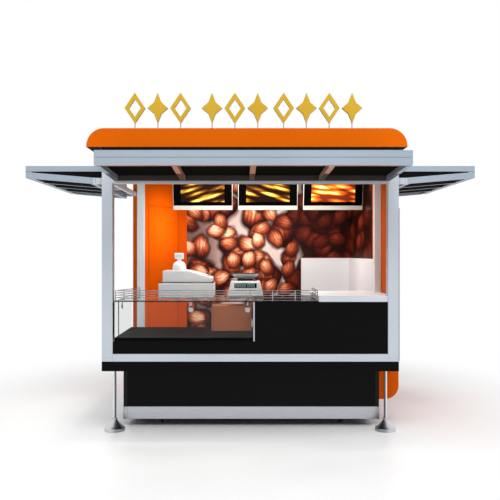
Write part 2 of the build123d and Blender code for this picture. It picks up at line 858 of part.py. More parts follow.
def make_screens():
    """Three menu screens that lean forward, each on a hanger from the roof."""
    housings = []
    panes = []
    hangers = []
    for index in range(screen_count):
        x = screen_last_x - index * screen_pitch
        place = Pos(x, screen_y, screen_bottom) * Rot(screen_tilt, 0, 0)
        half = screen_width / 2
        housing = block(-half, half, 0, screen_panel_depth, 0, screen_height)
        housing = chamfer(housing.edges().filter_by(Axis.Y), screen_corner)
        inset = screen_rear_inset
        rear = block(-half + inset, half - inset, screen_panel_depth, screen_depth,
                     inset, screen_height - inset)
        rear = chamfer(rear.faces().sort_by(Axis.Y)[-1].edges(), screen_rear_chamfer)
        housing = housing + rear
        margin = screen_glass_margin
        recess = block(-half + margin, half - margin, 0,
                       screen_glass_thick - screen_glass_proud,
                       screen_glass_chin, screen_height - margin)
        pane = block(-half + margin, half - margin, -screen_glass_proud,
                     screen_glass_thick - screen_glass_proud, screen_glass_chin,
                     screen_height - margin)
        housings.append(place * (housing - recess))
        panes.append(place * pane)

        back_point = place * Pos(0, screen_depth + hanger_head / 2, screen_height / 2)
        spot = back_point.position
        head = place * block(-hanger_head / 2, hanger_head / 2, screen_depth,
                             screen_depth + hanger_head, screen_height / 2 - hanger_head / 2,
                             screen_height / 2 + hanger_head / 2)
        tube = rod((spot.X, spot.Y, spot.Z), (spot.X, spot.Y, z_roof), hanger_diameter / 2)
        plate = block(spot.X - hanger_plate / 2, spot.X + hanger_plate / 2,
                      spot.Y - hanger_plate / 2, spot.Y + hanger_plate / 2,
                      z_roof - hanger_plate_thick, z_roof)
        hangers.append(head + tube + plate)
    save("screen_housings", *housings)
    save("screen_glass", *panes)
    save("screen_hangers", *hangers)


def make_till():
    """Cash drawer with the till on it, the customer display and the weighing scale."""
    foot = z_worktop + glass_thick
    half = till_width / 2
    y0 = till_y - till_depth / 2
    y1 = till_y + till_depth / 2
    drawer = block(till_middle_x - half, till_middle_x + half, y0, y1, foot,
                   foot + drawer_height)
    drawer = fillet(drawer.edges().filter_by(Axis.Z), drawer_corner_radius)
    lid_z = foot + drawer_height
    body_left = till_middle_x + half - drawer_lid_set_in - till_body_width
    body = block(body_left, body_left + till_body_width, y0 + drawer_lid_set_in,
                 y1 - drawer_lid_set_in, lid_z, lid_z + till_body_height)
    slope = side_prism([(body_left + till_flat_width, lid_z + till_body_height),
                        (body_left + till_body_width, lid_z + till_body_low_height),
                        (body_left + till_body_width + 1, lid_z + till_body_height + 1),
                        (body_left + till_flat_width, lid_z + till_body_height + 1)],
                       y0, y1)
    body = body - slope
    save("till", drawer + body)

    pole_z = lid_z + till_body_height
    bell = Polyline((0, 0), (pole_foot_diameter / 2, 0),
                    (pole_dome_diameter / 2, pole_dome_height),
                    (pole_radius + pole_shoulder, pole_foot_height),
                    (pole_radius, pole_foot_height),
                    (pole_radius, pole_foot_height + pole_height),
                    (0, pole_foot_height + pole_height), close=True)
    stand = revolve(Plane.XZ * make_face(bell), Axis.Z)
    top = block(-pole_display_width / 2, pole_display_width / 2, -pole_display_depth / 2,
                pole_display_depth / 2, pole_foot_height + pole_height,
                pole_foot_height + pole_height + pole_display_height)
    top = chamfer(top.edges().filter_by(Axis.Y), pole_display_corner)
    pole_y = y0 + drawer_lid_set_in + pole_from_body_front
    save("customer_display", Pos(body_left + pole_from_body_left, pole_y, pole_z)
         * (stand + top))


def make_scale():
    """Weighing scale: a body with sloped sides and a shallow tray."""
    foot = z_worktop + glass_thick
    w0 = scale_width / 2
    w1 = scale_top_width / 2
    y0 = scale_y - scale_depth / 2
    y1 = scale_y + scale_depth / 2
    body = side_prism([(-w0, 0), (w0, 0), (w1, scale_body_height), (-w1, scale_body_height)],
                      y0, y1)
    body = fillet(body.edges().filter_by(Axis.Y).group_by(Axis.Z)[-1], scale_corner_radius)
    window_top = scale_body_height - scale_window_below_top
    window = block(-scale_window_width / 2, scale_window_width / 2, y0,
                   y0 + scale_window_depth, window_top - scale_window_height, window_top)
    body = body - window
    neck_half = scale_neck_width / 2
    neck_top = scale_body_height + scale_neck_height
    neck = block(-neck_half, neck_half, y0 + scale_neck_inset, y1 - scale_neck_inset,
                 scale_body_height, neck_top)
    save("scale_body", Pos(scale_middle_x, 0, foot) * (body + neck))

    low = scale_tray_foot_width / 2
    high = scale_tray_width / 2
    tray_bottom = Plane.XY.offset(neck_top) * Rectangle(2 * low, 2 * low * 0.9)
    tray_top = Plane.XY.offset(neck_top + scale_tray_height) * Rectangle(2 * high,
                                                                        2 * high * 0.9)
    tray = loft([tray_bottom, tray_top], ruled=True)
    wall = scale_tray_wall
    cut_bottom = Plane.XY.offset(neck_top + wall) * Rectangle(2 * (low - wall),
                                                              2 * (low - wall) * 0.9)
    cut_top = Plane.XY.offset(neck_top + scale_tray_height + wall) * Rectangle(
        2 * (high - wall), 2 * (high - wall) * 0.9)
    tray = tray - loft([cut_bottom, cut_top], ruled=True)
    save("scale_tray", Pos(scale_middle_x, scale_y, foot) * tray)


def lozenge():
    """An open lozenge, standing on its lower point."""
    outer = [(0, 0), (ornament_width / 2, ornament_height / 2), (0, ornament_height),
             (-ornament_width / 2, ornament_height / 2)]
    share = 1 - 2 * ornament_stroke / ornament_width
    middle = ornament_height / 2
    inner = [(x * share, middle + (z - middle) * share) for x, z in outer]
    half = ornament_thick / 2
    return side_prism(outer, -half, half) - side_prism(inner, -half - 1, half + 1)


def star():
    """A four-point star, standing on its lower point."""
    points = []
    for index in range(8):
        turn = math.radians(-90 + 45 * index)
        share = 1 if index % 2 == 0 else star_inner_share
        points.append((ornament_width / 2 * share * math.cos(turn),
                       ornament_height / 2 * (1 + share * math.sin(turn))))
    half = ornament_thick / 2
    return side_prism(points, -half, half)


def make_ornaments():
    """Yellow ornaments in three groups along the roof's front edge, each on a pin."""
    shapes = (lozenge(), star())
    ornaments = []
    count = 0
    y = front + ornament_inset
    for start, number in zip(ornament_starts, ornament_counts):
        for index in range(number):
            x = roof_left_end + start + index * ornament_pitch
            foot = rod((x, y, z_top),
                       (x, y, z_top + ornament_pin_height + ornament_pin_socket),
                       ornament_pin_radius, small_rod_sides)
            body = Pos(x, y, z_top + ornament_pin_height) * shapes[count % 2]
            ornaments.append(foot + body)
            count += 1
    save("roof_ornaments", *ornaments)


os.makedirs("parts", exist_ok=True)
make_base()
make_ground_supports()
make_deck()
make_posts()
make_rails()
make_shell()
make_splay_wall()
make_door()
make_counter()
make_display()
make_gallery()
make_canopies()
make_graphics()
make_screens()
make_till()
make_scale()
make_ornaments()
print("hinge axis at", at_splay(door_jamb + door_gap / 2, splay_thick + hinge_axis_out))
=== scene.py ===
import math
from itertools import product

import bmesh
import bpy
from mathutils import Matrix, Vector


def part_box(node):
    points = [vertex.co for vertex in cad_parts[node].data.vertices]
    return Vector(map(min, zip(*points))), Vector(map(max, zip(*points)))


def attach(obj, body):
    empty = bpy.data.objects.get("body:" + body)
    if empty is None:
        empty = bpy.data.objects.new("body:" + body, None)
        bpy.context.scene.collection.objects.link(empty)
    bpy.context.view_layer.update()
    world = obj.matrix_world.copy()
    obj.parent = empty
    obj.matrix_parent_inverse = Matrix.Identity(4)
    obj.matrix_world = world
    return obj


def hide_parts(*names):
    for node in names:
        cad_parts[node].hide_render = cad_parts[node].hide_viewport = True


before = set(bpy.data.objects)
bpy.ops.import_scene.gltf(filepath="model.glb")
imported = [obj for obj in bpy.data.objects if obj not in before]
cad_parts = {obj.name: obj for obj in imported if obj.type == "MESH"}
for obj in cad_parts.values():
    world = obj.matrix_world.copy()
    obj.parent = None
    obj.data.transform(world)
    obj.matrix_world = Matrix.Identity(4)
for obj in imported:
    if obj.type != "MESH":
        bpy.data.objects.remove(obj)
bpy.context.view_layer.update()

# Street kiosk: finishes, small parts, studio and camera. Metres, +Z up, ground at Z = 0.

# The photograph's view: a 36 mm wide frame looking along +Y
CAMERA_PLACE = (-0.051, -6.850, 1.473)
CAMERA_LENS = 50.4
CAMERA_SHIFT = (0.012, 0.008)

# The world's light on the object, against 1 where the world itself shows
WORLD_LEVEL = 0.22

# Each lamp's place, aim, size and power, with its colour and spread in degrees where they differ
WARM_LIGHT = (1, 0.95, 0.9)
LAMPS = {
    "key": ((0.2, -4.8, 5.6), (0, -0.9, 0.8), (4.5, 3.5), 355),
    "side": ((5.6, -2.0, 3.6), (0.3, 0, 1.2), (3.5, 3.5), 75),
    "back": ((-2.5, 5.0, 6.0), (0, 0.8, 1.0), (4.5, 4.5), 210),
    "ceiling": ((0.15, 0.2, 2.25), (0.15, 0.45, 0.0), (1.5, 0.9), 31, WARM_LIGHT),
    "counter": ((-0.13, -0.9, 2.03), (-0.05, 0.4, 0.9), (1.5, 0.35), 18, WARM_LIGHT),
    "wall": ((-0.15, 0.3, 1.98), (-0.95, 0.76, 1.75), (0.1, 0.1), 1.0, WARM_LIGHT, 56),
}

# Colours on screen, from 0 to 255. A pair is the deep and the pale end of a finish.
ALUMINIUM = ((193, 201, 211), (204, 211, 220))
INNER = ((217, 229, 234), (224, 236, 241))
FASCIA = ((160, 172, 185), (168, 180, 193))
# Painted light on the front canopy: warm light bounced from the orange inside on its rafters, and
# shade on its rear rail
FASCIA_BOUNCE_LIGHT = ((210, 162, 134), (222, 174, 146))
FASCIA_SHADE = ((54, 46, 42), (64, 55, 50))
# Painted shade on the side canopies' rafter faces
FASCIA_DEEP_SHADE = ((26, 26, 27), (34, 34, 36))
ORANGE = ((216, 85, 3), (224, 91, 4))
ROOF_ORANGE = ((208, 92, 5), (215, 98, 7))
# Painted shade on the roof's underside
ROOF_UNDERSIDE_SHADE = ((30, 20, 16), (40, 27, 20))
BLACK = ((11, 12, 12), (15, 16, 16))
GLASS_EDGE = ((28, 52, 46), (40, 66, 58))
STEEL = (186, 189, 194)
WHITE = (236, 238, 241)
RUBBER = (26, 27, 29)

# Colours of the print's ground and of its pods, and of the screens' pictures, along a factor
GROUND = ((0.0, (84, 66, 64)), (0.16, (150, 118, 112)), (0.3, (222, 196, 188)),
          (0.62, (232, 212, 206)), (0.7, (40, 20, 18)), (1.0, (18, 6, 4)))
POD = ((0.05, (34, 5, 3)), (0.28, (110, 36, 18)), (0.5, (184, 88, 52)), (0.72, (234, 152, 106)),
       (0.95, (252, 218, 186)))
DARK_TO_GOLD = ((0.16, (20, 3, 0)), (0.4, (74, 38, 4)), (0.6, (152, 104, 10)),
                (0.92, (234, 200, 92)))
RED_TO_CREAM = ((0.1, (104, 34, 12)), (0.36, (206, 80, 18)), (0.6, (244, 154, 50)),
                (0.9, (255, 236, 132)))

# Heights that part two finishes on one CAD node; below FLOOR_TOP the floor sheet is painted black
# as shade
KICK_TOP = 0.1698
FLOOR_TOP = 0.1685

# The splayed wall's inner line in plan, its thickness and that of its door
SPLAY_START = (-1.087, 0.473)
SPLAY_END = (-0.769, 1.116)
SPLAY_THICK = 0.044
LEAF_THICK = 0.04

# Middle of the side canopies along Y, and how far the rafters between their end bars reach, which
# bounds their painted shade
wing_low, wing_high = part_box("canopy_left_frame")
WING_MIDDLE = (wing_low.y + wing_high.y) / 2
WING_REACH = (wing_high.y - wing_low.y) / 2 - 0.06

# The place on the print that no pod starts near: across, height and radius
PRINT_CLEARING = (-0.13, 1.86, 0.13)

BODY = "kiosk"
DOOR = "door"
FRONT = (0, -1, 0)


def tone(colour):
    """A screen colour from 0 to 255 as a shader colour."""
    shares = [value / 255 for value in colour]
    return [s / 12.92 if s <= 0.04045 else ((s + 0.055) / 1.055) ** 2.4 for s in shares] + [1]


class Nodes:
    """Adds nodes to a material or a world."""

    def __init__(self, owner):
        owner.use_nodes = True
        self.nodes = owner.node_tree.nodes
        self.links = owner.node_tree.links

    def node(self, kind, inputs=(), **settings):
        """The outputs of a new node with its settings, and its inputs linked or set."""
        made = self.nodes.new("ShaderNode" + kind)
        for name, value in settings.items():
            setattr(made, name, value)
        for name, value in dict(inputs).items():
            if isinstance(value, bpy.types.NodeSocket):
                self.links.new(value, made.inputs[name])
            else:
                made.inputs[name].default_value = value
        return made.outputs

    def math(self, operation, first, second=0.0):
        return self.node("Math", {0: first, 1: second}, operation=operation)["Value"]

    def times(self, value, *others):
        """The product of all the values."""
        for other in others:
            value = self.math("MULTIPLY", value, other)
        return value

    def above(self, value, limit):
        return self.math("GREATER_THAN", value, limit)

    def below(self, value, limit):
        return self.math("LESS_THAN", value, limit)

    def size(self, value):
        return self.math("ABSOLUTE", value)

    def span(self, value, low, high, out_low=0.0, out_high=1.0, smooth=False):
        kind = "SMOOTHSTEP" if smooth else "LINEAR"
        facts = {"Value": value, "From Min": low, "From Max": high, "To Min": out_low,
                 "To Max": out_high}
        return self.node("MapRange", facts, interpolation_type=kind)["Result"]

    def shown(self):
        """1 for rays from the camera, a mirror or through glass, and 0 for those that light."""
        paths = self.node("LightPath")
        seen = self.math("MAXIMUM", paths["Is Camera Ray"], paths["Is Glossy Ray"])
        return self.math("MAXIMUM", seen, paths["Is Transmission Ray"])


class Finish(Nodes):
    """One procedural material: a Principled shader and the nodes that feed it."""

    def __init__(self, name, colour, roughness, level=0.5, **inputs):
        self.material = bpy.data.materials.new(name)
        super().__init__(self.material)
        self.shader = self.nodes["Principled BSDF"]
        self.shader.inputs["Base Color"].default_value = tone(colour)
        self.shader.inputs["Roughness"].default_value = roughness
        self.shader.inputs["Specular IOR Level"].default_value = level
        for socket, value in inputs.items():
            self.shader.inputs[socket.replace("_", " ")].default_value = value

    def feed(self, socket, value):
        self.links.new(value, self.shader.inputs[socket])

    def colour(self, value):
        self.feed("Base Color", value)

    def gloss(self, factor, low, high):
        """Varies the roughness with a noise."""
        self.feed("Roughness", self.span(factor, 0.3, 0.7, low, high))

    def surface(self, shader):
        self.links.new(shader[0], self.nodes["Material Output"].inputs["Surface"])

    def mapped(self, vector, scale=(1, 1, 1), shift=(0, 0, 0), turn=0.0):
        """Places that are stretched, turned about Z and shifted."""
        facts = {"Vector": vector, "Scale": scale, "Location": shift, "Rotation": (0, 0, turn)}
        return self.node("Mapping", facts)["Vector"]

    def place(self, stretch=(1, 1, 1)):
        """Places on the object in metres, times a stretch."""
        return self.mapped(self.node("TexCoord")["Object"], stretch)

    def part(self, vector, axis):
        return self.node("SeparateXYZ", {"Vector": vector})[axis]

    def at(self, axis):
        """One coordinate of the place on the object."""
        return self.part(self.place(), axis)

    def normal(self, axis):
        return self.part(self.node("TexCoord")["Normal"], axis)

    def flat(self, across):
        """Places on an upright picture: how far across, and up."""
        return self.node("CombineXYZ", {"X": across, "Y": self.at("Z")})["Vector"]

    def vector(self, operation, first, second=(0, 0, 0), output="Vector"):
        return self.node("VectorMath", {0: first, 1: second}, operation=operation)[output]

    def noise(self, scale, stretch=(1, 1, 1), detail=2.0, vector=None):
        facts = {"Vector": vector or self.place(stretch), "Scale": scale, "Detail": detail}
        return self.node("TexNoise", facts)["Fac"]

    def lines(self, grain, along, across, detail):
        """Noise that is drawn out along one axis."""
        return self.noise(1, [along if axis == grain else across for axis in "XYZ"], detail)

    def ramp(self, factor, stops):
        """Colours along a factor, given as (position, screen colour) pairs."""
        made = self.node("ValToRGB", {"Fac": factor})
        elements = made["Color"].node.color_ramp.elements
        while len(elements) < len(stops):
            elements.new(0.5)
        for element, (position, colour) in zip(elements, stops):
            element.position = position
            element.color = tone(colour)
        return made["Color"]

    def tint(self, factor, pair, low=0.3, high=0.7):
        """A ramp from the deep to the pale colour of a pair."""
        return self.ramp(factor, [(low, pair[0]), (high, pair[1])])

    def drift(self, scale, pair):
        """A slow change between the colours of a pair."""
        return self.tint(self.noise(scale, detail=3), pair)

    def mix(self, factor, low, high):
        """A mix of two colours."""
        return self.node("MixRGB", {"Fac": factor, "Color1": low, "Color2": high})["Color"]

    def bump(self, height, strength, distance):
        facts = {"Height": height, "Strength": strength, "Distance": distance}
        self.feed("Normal", self.node("Bump", facts)["Normal"])

    def drawn(self, grain):
        """Fine drawing lines of an extrusion, in its gloss and surface."""
        lines = self.lines(grain, 6, 900, 3)
        self.gloss(lines, 0.42, 0.54)
        self.bump(lines, 0.1, 0.0004)

    def sprayed(self, colour, peel=0.03, gloss=None):
        """Sprayed paint: its colour, orange peel and a little dust in the gloss."""
        self.colour(colour)
        self.bump(self.noise(420), peel, 0.0006)
        if gloss:
            self.feed("Roughness", self.span(self.noise(55, detail=4), 0.3, 0.75, *gloss))


def aluminium(name, grain, pair=ALUMINIUM, metal=0.6):
    """Satin anodised extrusion with fine drawing lines along one axis."""
    made = Finish(name, pair[1], 0.45, 0.3, Metallic=metal)
    made.colour(made.drift(1.6, pair))
    made.drawn(grain)
    return made


def canopy_metal():
    """Satin canopy frame, bluish on the outside. The rafter faces that face the counter carry
    painted warm light bounced from the orange inside, and the rear rail carries painted shade and
    is less metallic.
    """
    made = Finish("canopy_metal", FASCIA[1], 0.48, 0.3, Metallic=0.6)
    beside = made.size(made.at("X"))
    lower = made.below(made.normal("Z"), 0.5)
    # Masks of painted light: warm bounce light on the rafters, shade on the rear rail
    rafters = made.times(made.above(made.normal("Y"), -0.6), made.below(beside, 1.03), lower)
    rear = made.times(made.above(made.at("Y"), -1.6), made.below(made.size(made.normal("X")), 0.5),
                      made.below(beside, 1.16), lower)
    satin = made.mix(rafters, made.drift(1.6, FASCIA), made.drift(1.6, FASCIA_BOUNCE_LIGHT))
    made.colour(made.mix(rear, satin, made.drift(1.6, FASCIA_SHADE)))
    made.feed("Metallic", made.span(rear, 0, 1, 0.6, 0.1))
    made.drawn("X")
    return made


def wing_metal():
    """Satin side canopy frame. The rafters behind its front bar have faces painted dark as shade,
    and less metallic.
    """
    made = Finish("wing_metal", FASCIA[1], 0.48, 0.3, Metallic=0.6)
    off_middle = made.size(made.math("SUBTRACT", made.at("Y"), WING_MIDDLE))
    rafters = made.times(made.above(made.size(made.normal("Y")), 0.6),
                         made.below(off_middle, WING_REACH))
    # Painted shade on the rafters' faces
    made.colour(made.mix(rafters, made.drift(1.6, FASCIA), made.drift(1.6, FASCIA_DEEP_SHADE)))
    made.feed("Metallic", made.span(rafters, 0, 1, 0.6, 0.0))
    made.drawn("Y")
    return made


def corner_steel():
    """Brushed steel at the kick, black paint on the cabinet wall above it."""
    made = Finish("kick_corner", STEEL, 0.32, 0.2)
    above = made.above(made.at("Z"), KICK_TOP)
    lines = made.lines("Z", 8, 1400, 4)
    steel = made.tint(lines, ((164, 167, 174), (196, 199, 204)), 0.25, 0.75)
    made.colour(made.mix(above, steel, made.tint(lines, BLACK, 0.25, 0.75)))
    made.feed("Metallic", made.math("SUBTRACT", 1.0, above))
    made.feed("Roughness", made.span(above, 0, 1, 0.3, 0.42))
    made.bump(lines, 0.15, 0.0003)
    return made


def brushed_steel(name, grain):
    """Brushed stainless sheet."""
    made = Finish(name, STEEL, 0.3, Metallic=1.0, Anisotropic=0.4)
    lines = made.lines(grain, 8, 1400, 4)
    made.colour(made.tint(lines, ((168, 171, 178), (200, 203, 208)), 0.25, 0.75))
    made.gloss(lines, 0.24, 0.4)
    made.bump(lines, 0.2, 0.0003)
    return made


def chrome(name, pair):
    """Polished wire and fittings with faint handling haze."""
    made = Finish(name, pair[1], 0.14, Metallic=1.0)
    haze = made.noise(30, detail=3)
    made.feed("Roughness", made.span(haze, 0.35, 0.7, 0.1, 0.22))
    made.colour(made.tint(haze, pair))
    return made


def chrome_with_painted_reflection(name, pair, roughness):
    """Polished leg metal, with a painted dark reflection of the black cabinet on the side that
    stands to it.
    """
    made = Finish(name, pair[1], roughness, Metallic=1.0)
    # Painted reflection: darker on the side that faces the cabinet
    outward = made.times(made.normal("X"), made.at("X"))
    haze = made.span(made.noise(30, detail=3), 0.3, 0.7, -0.06, 0.06)
    side = made.span(made.math("ADD", outward, haze), -0.4, 0.3, smooth=True)
    made.colour(made.tint(side, pair, 0, 1))
    made.gloss(made.lines("Z", 8, 1400, 4), roughness * 0.85, roughness * 1.15)
    return made


def painted(name, pair, roughness, level, peel=0.03):
    """Sprayed paint with a slow colour drift."""
    made = Finish(name, pair[1], roughness, level)
    made.sprayed(made.drift(0.9, pair), peel, (roughness * 0.85, roughness * 1.2))
    return made


def roof_paint():
    """Orange roof paint, with painted shade on its underside."""
    made = Finish("roof_paint", ROOF_ORANGE[1], 0.42, 0.06)
    # Faces that look down take the painted shade
    under = made.below(made.normal("Z"), -0.6)
    colour = made.mix(under, made.drift(0.9, ROOF_ORANGE), made.drift(0.9, ROOF_UNDERSIDE_SHADE))
    made.sprayed(colour, gloss=(0.36, 0.5))
    return made


def side_paint(name, limit, inside):
    """Orange side panels, with painted shade on the inside."""
    made = Finish(name, ORANGE[1], 0.5, 0.03)
    # Inner faces take the painted shade
    shaded_inner_face = made.below(made.times(made.normal("X"), made.at("X")), limit)
    made.sprayed(made.mix(shaded_inner_face, made.drift(0.9, ORANGE), made.drift(0.9, inside)))
    return made


def moulded(name, pair, roughness, level=0.4):
    """Moulded plastic with a fine spark-eroded grain."""
    made = Finish(name, pair[1], roughness, level)
    grain = made.noise(1800)
    made.colour(made.tint(made.noise(5), pair))
    made.gloss(grain, roughness * 0.9, roughness * 1.15)
    made.bump(grain, 0.06, 0.0002)
    return made


def solid_surface():
    """White cast worktop with very fine flecks, and painted cool shade on a band along the
    counter's front edge.
    """
    made = Finish("white_solid_surface", WHITE, 0.5, 0.08)
    flecks = made.node("TexVoronoi", {"Vector": made.place(), "Scale": 120})["Distance"]
    white = made.tint(flecks, ((232, 233, 235), WHITE), 0.02, 0.14)
    # Painted cool shade on the counter's front edge
    front_edge_shade = made.tint(flecks, ((212, 217, 225), (217, 222, 229)), 0.02, 0.14)
    edge = made.below(made.at("Y"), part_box("counter_top")[0].y + 0.002)
    made.colour(made.mix(edge, white, front_edge_shade))
    made.gloss(made.noise(40, detail=4), 0.44, 0.56)
    return made


def clear_glass(name, tint, dark_edges=False):
    """Float glass, which lets light through to what it covers. A slab shows dark green edges."""
    made = Finish(name, tint, 0.0, IOR=1.01, Transmission_Weight=1.0)
    smear = made.noise(9, detail=4)
    made.feed("Roughness", made.span(smear, 0.5, 0.8, 0.0, 0.03))
    if dark_edges:
        facing_up = made.part(made.node("NewGeometry")["Normal"], "Z")
        side = made.below(made.size(facing_up), 0.5)
        made.colour(made.mix(side, tone(tint), made.tint(smear, GLASS_EDGE)))
    mirror = made.node("BsdfGlossy", {"Color": (1, 1, 1, 1), "Roughness": 0.02})
    sheen = made.node("MixShader", {0: made.span(smear, 0.3, 0.7, 0.010, 0.015),
                                    1: made.shader.outputs[0], 2: mirror[0]})
    clear = made.node("BsdfTransparent", {"Color": tone((246, 250, 248))})
    made.surface(made.node("MixShader", {0: made.node("LightPath")["Is Shadow Ray"],
                                         1: sheen[0], 2: clear[0]}))
    return made


def rubber():
    """Dark castor tyre, dusty on its tread."""
    made = Finish("rubber", RUBBER, 0.6, 0.25)
    made.colour(made.tint(made.noise(60, detail=5), (RUBBER, (62, 62, 64)), 0.35, 0.8))
    made.bump(made.noise(500), 0.1, 0.0004)
    return made


def board():
    """Brown pressed board with fibres."""
    made = Finish("brown_board", (150, 84, 56), 0.7, 0.2)
    fibres = made.noise(1, (60, 60, 900), 5)
    made.colour(made.tint(fibres, ((128, 68, 44), (172, 100, 68))))
    made.bump(fibres, 0.15, 0.0006)
    return made


def floor_sheet():
    """Studded grey sheet on the kiosk's own floor, with its underside painted black as shade."""
    made = Finish("floor_sheet", (84, 86, 90), 0.6, 0.2)
    studs = made.node("TexVoronoi", {"Vector": made.place(), "Scale": 34, "Randomness": 0.0})
    top = made.above(made.at("Z"), FLOOR_TOP)
    wear = made.noise(14, detail=4)
    upper = made.tint(wear, ((74, 76, 80), (96, 98, 102)))
    # Below the top, painted black shade
    made.colour(made.mix(top, made.tint(wear, ((10, 10, 11), (16, 16, 17))), upper))
    made.bump(made.times(made.span(studs["Distance"], 0.42, 0.34), top), 0.5, 0.001)
    return made


def pod_layer(made, flat, scale, shift, turn, shape, share):
    """One layer of rounded pods: their cover, their shadow, their shade and a chance tint."""
    spots = made.mapped(flat, (scale, scale, 1), shift, turn)
    cells = made.node("TexVoronoi", {"Vector": spots, "Scale": 1.0, "Randomness": 0.55},
                      voronoi_dimensions="2D")
    chance = made.node("SeparateColor", {"Color": cells["Color"]})
    offset = made.vector("SUBTRACT", spots, cells["Position"])
    local = made.node("VectorRotate", {"Vector": offset, "Angle": made.times(chance["Red"], 6.28)},
                      rotation_type="Z_AXIS")["Vector"]
    rounded = made.vector("MULTIPLY", local, (1 / shape[0], 1 / shape[1], 0))
    wobble = made.span(made.noise(2.2, detail=1, vector=spots), 0.3, 0.7, -0.14, 0.14)
    reach = made.math("ADD", made.vector("LENGTH", rounded, output="Value"), wobble)
    x, y, radius = [scale * value for value in PRINT_CLEARING]
    middle = (x * math.cos(turn) - y * math.sin(turn) + shift[0],
              x * math.sin(turn) + y * math.cos(turn) + shift[1], 0)
    away = made.vector("DISTANCE", cells["Position"], middle, "Value")
    room = made.span(away, radius, radius * 1.7)
    chosen = made.below(chance["Blue"], made.times(room, share))
    cover = made.times(made.span(reach, 1.0, 0.93, smooth=True), chosen)
    shadow = made.times(made.span(reach, 1.35, 0.95, smooth=True), chosen)
    from_light = made.vector("SUBTRACT", offset, (-0.13, 0.15, 0))
    lit = made.span(made.vector("LENGTH", from_light, output="Value"), 0.62, 0.02)
    folds = made.noise(1, detail=3, vector=made.mapped(local, (2.5, 13, 1)))
    shade = made.times(lit, made.span(folds, 0.3, 0.7, 0.6, 1.2),
                       made.span(reach, 1.05, 0.6, 0.45, 1.0))
    return cover, shadow, shade, chance["Green"]


def printed_graphic():
    """Printed wall film: drifts of glossy rounded pods on a ground that turns from pale to dark."""
    made = Finish("printed_graphic", (120, 60, 44), 0.4, 0.15)
    deep = made.math("SUBTRACT", made.at("Y"), 1.128)
    across = made.math("SUBTRACT", made.at("X"), made.times(deep, 0.45))
    flat = made.flat(across)
    wander = made.noise(1.3, detail=1, vector=flat)
    change = made.math("ADD", across, made.span(wander, 0.3, 0.7, -0.12, 0.12))
    colour = made.ramp(made.span(change, -0.8, 1.2), GROUND)
    dusk = made.span(change, 0.05, 0.66, 1.14, 0.36, smooth=True)
    # Each layer's scale, shift, turn, pod shape, share of cells that hold a pod, and lift
    layers = ((2.6, (0.3, 0.1, 0), 0.5, (0.46, 0.36), 0.8, -0.16),
              (3.3, (1.7, 0.6, 0), 1.3, (0.47, 0.33), 0.75, 0.0),
              (3.9, (3.1, 2.2, 0), 2.2, (0.46, 0.31), 0.7, 0.06),
              (4.4, (5.3, 1.4, 0), 0.2, (0.45, 0.32), 0.5, 0.12))
    for *layer, lift in layers:
        cover, shadow, shade, chance = pod_layer(made, flat, *layer)
        level = made.math("ADD", made.times(shade, made.span(chance, 0, 1, 0.62, 1.12)), lift)
        pod = made.ramp(made.times(level, dusk), POD)
        dark = made.mix(made.times(shadow, 0.86), colour, tone((36, 8, 6)))
        colour = made.mix(cover, dark, pod)
    made.colour(colour)
    made.gloss(made.noise(30, detail=3), 0.36, 0.46)
    return made


def screen_picture(name, stops, scale, turn, shift):
    """A lit menu picture: a generic drift of long, soft, slanting pieces."""
    made = Finish(name, (20, 16, 10), 0.3, 0.1, Emission_Strength=0.7)
    spots = made.mapped(made.mapped(made.flat(made.at("X")), turn=turn), scale, shift)
    cells = made.node("TexVoronoi", {"Vector": spots, "Scale": 1.0, "Smoothness": 0.35},
                      voronoi_dimensions="2D", feature="SMOOTH_F1")
    chance = made.node("SeparateColor", {"Color": cells["Color"]})["Green"]
    level = made.times(made.span(cells["Distance"], 0.62, 0.08),
                       made.span(chance, 0.2, 0.9, 0.55, 1.15))
    unrest = made.span(made.noise(3, detail=3, vector=spots), 0.3, 0.7, -0.08, 0.08)
    colour = made.ramp(made.math("ADD", level, unrest), stops)
    made.colour(colour)
    made.feed("Emission Color", colour)
    return made


def led_green():
    """Small lit indicator."""
    made = Finish("led_green", (90, 220, 120), 0.4, Emission_Strength=0.6)
    glow = made.tint(made.noise(200), ((70, 200, 100), (120, 240, 150)), 0.2, 0.8)
    made.feed("Emission Color", glow)
    return made


ALU_X = aluminium("aluminium_x", "X")
ALU_Z = aluminium("aluminium_z", "Z")
STEEL_X = brushed_steel("brushed_steel_x", "X")
STEEL_Z = brushed_steel("brushed_steel_z", "Z")
# The deep end of each pair is the painted reflection of the cabinet
FOOT_STEEL = chrome_with_painted_reflection("foot_steel", ((150, 152, 157), (206, 208, 212)), 0.34)
LEG_CHROME = chrome_with_painted_reflection("leg_chrome", ((92, 94, 99), (222, 224, 227)), 0.16)
CHROMED = chrome("chrome", ((164, 168, 173), (178, 181, 186)))
WIRE = chrome("chrome_wire", ((160, 161, 164), (188, 189, 192)))
YELLOW = painted("yellow_paint", ((190, 152, 38), (199, 161, 46)), 0.38, 0.3)
SCREEN_BLACK = painted("screen_black", ((3, 2, 2), (4, 3, 3)), 0.25, 0.02, peel=0.0)
PLASTIC = moulded("white_plastic", ((239, 239, 240), (245, 245, 246)), 0.36, 0.3)
SCREEN_WHITE = moulded("screen_white", ((198, 196, 189), (206, 204, 196)), 0.36, 0.2)
GREY = moulded("grey_plastic", ((138, 140, 144), (150, 152, 156)), 0.4)
DARK = moulded("dark_plastic", ((28, 30, 33), (30, 31, 34)), 0.35, 0.2)
GASKET = moulded("gasket_rubber", ((16, 16, 18), (14, 14, 15)), 0.6, 0.15)
SEAL_RUBBER = moulded("seal_rubber", ((196, 80, 7), (206, 86, 8)), 0.6, 0.05)
LCD = moulded("lcd", ((102, 130, 120), (112, 140, 130)), 0.3)
PALE_LCD = moulded("pale_lcd", ((198, 208, 204), (206, 216, 212)), 0.3)
TYRE = rubber()
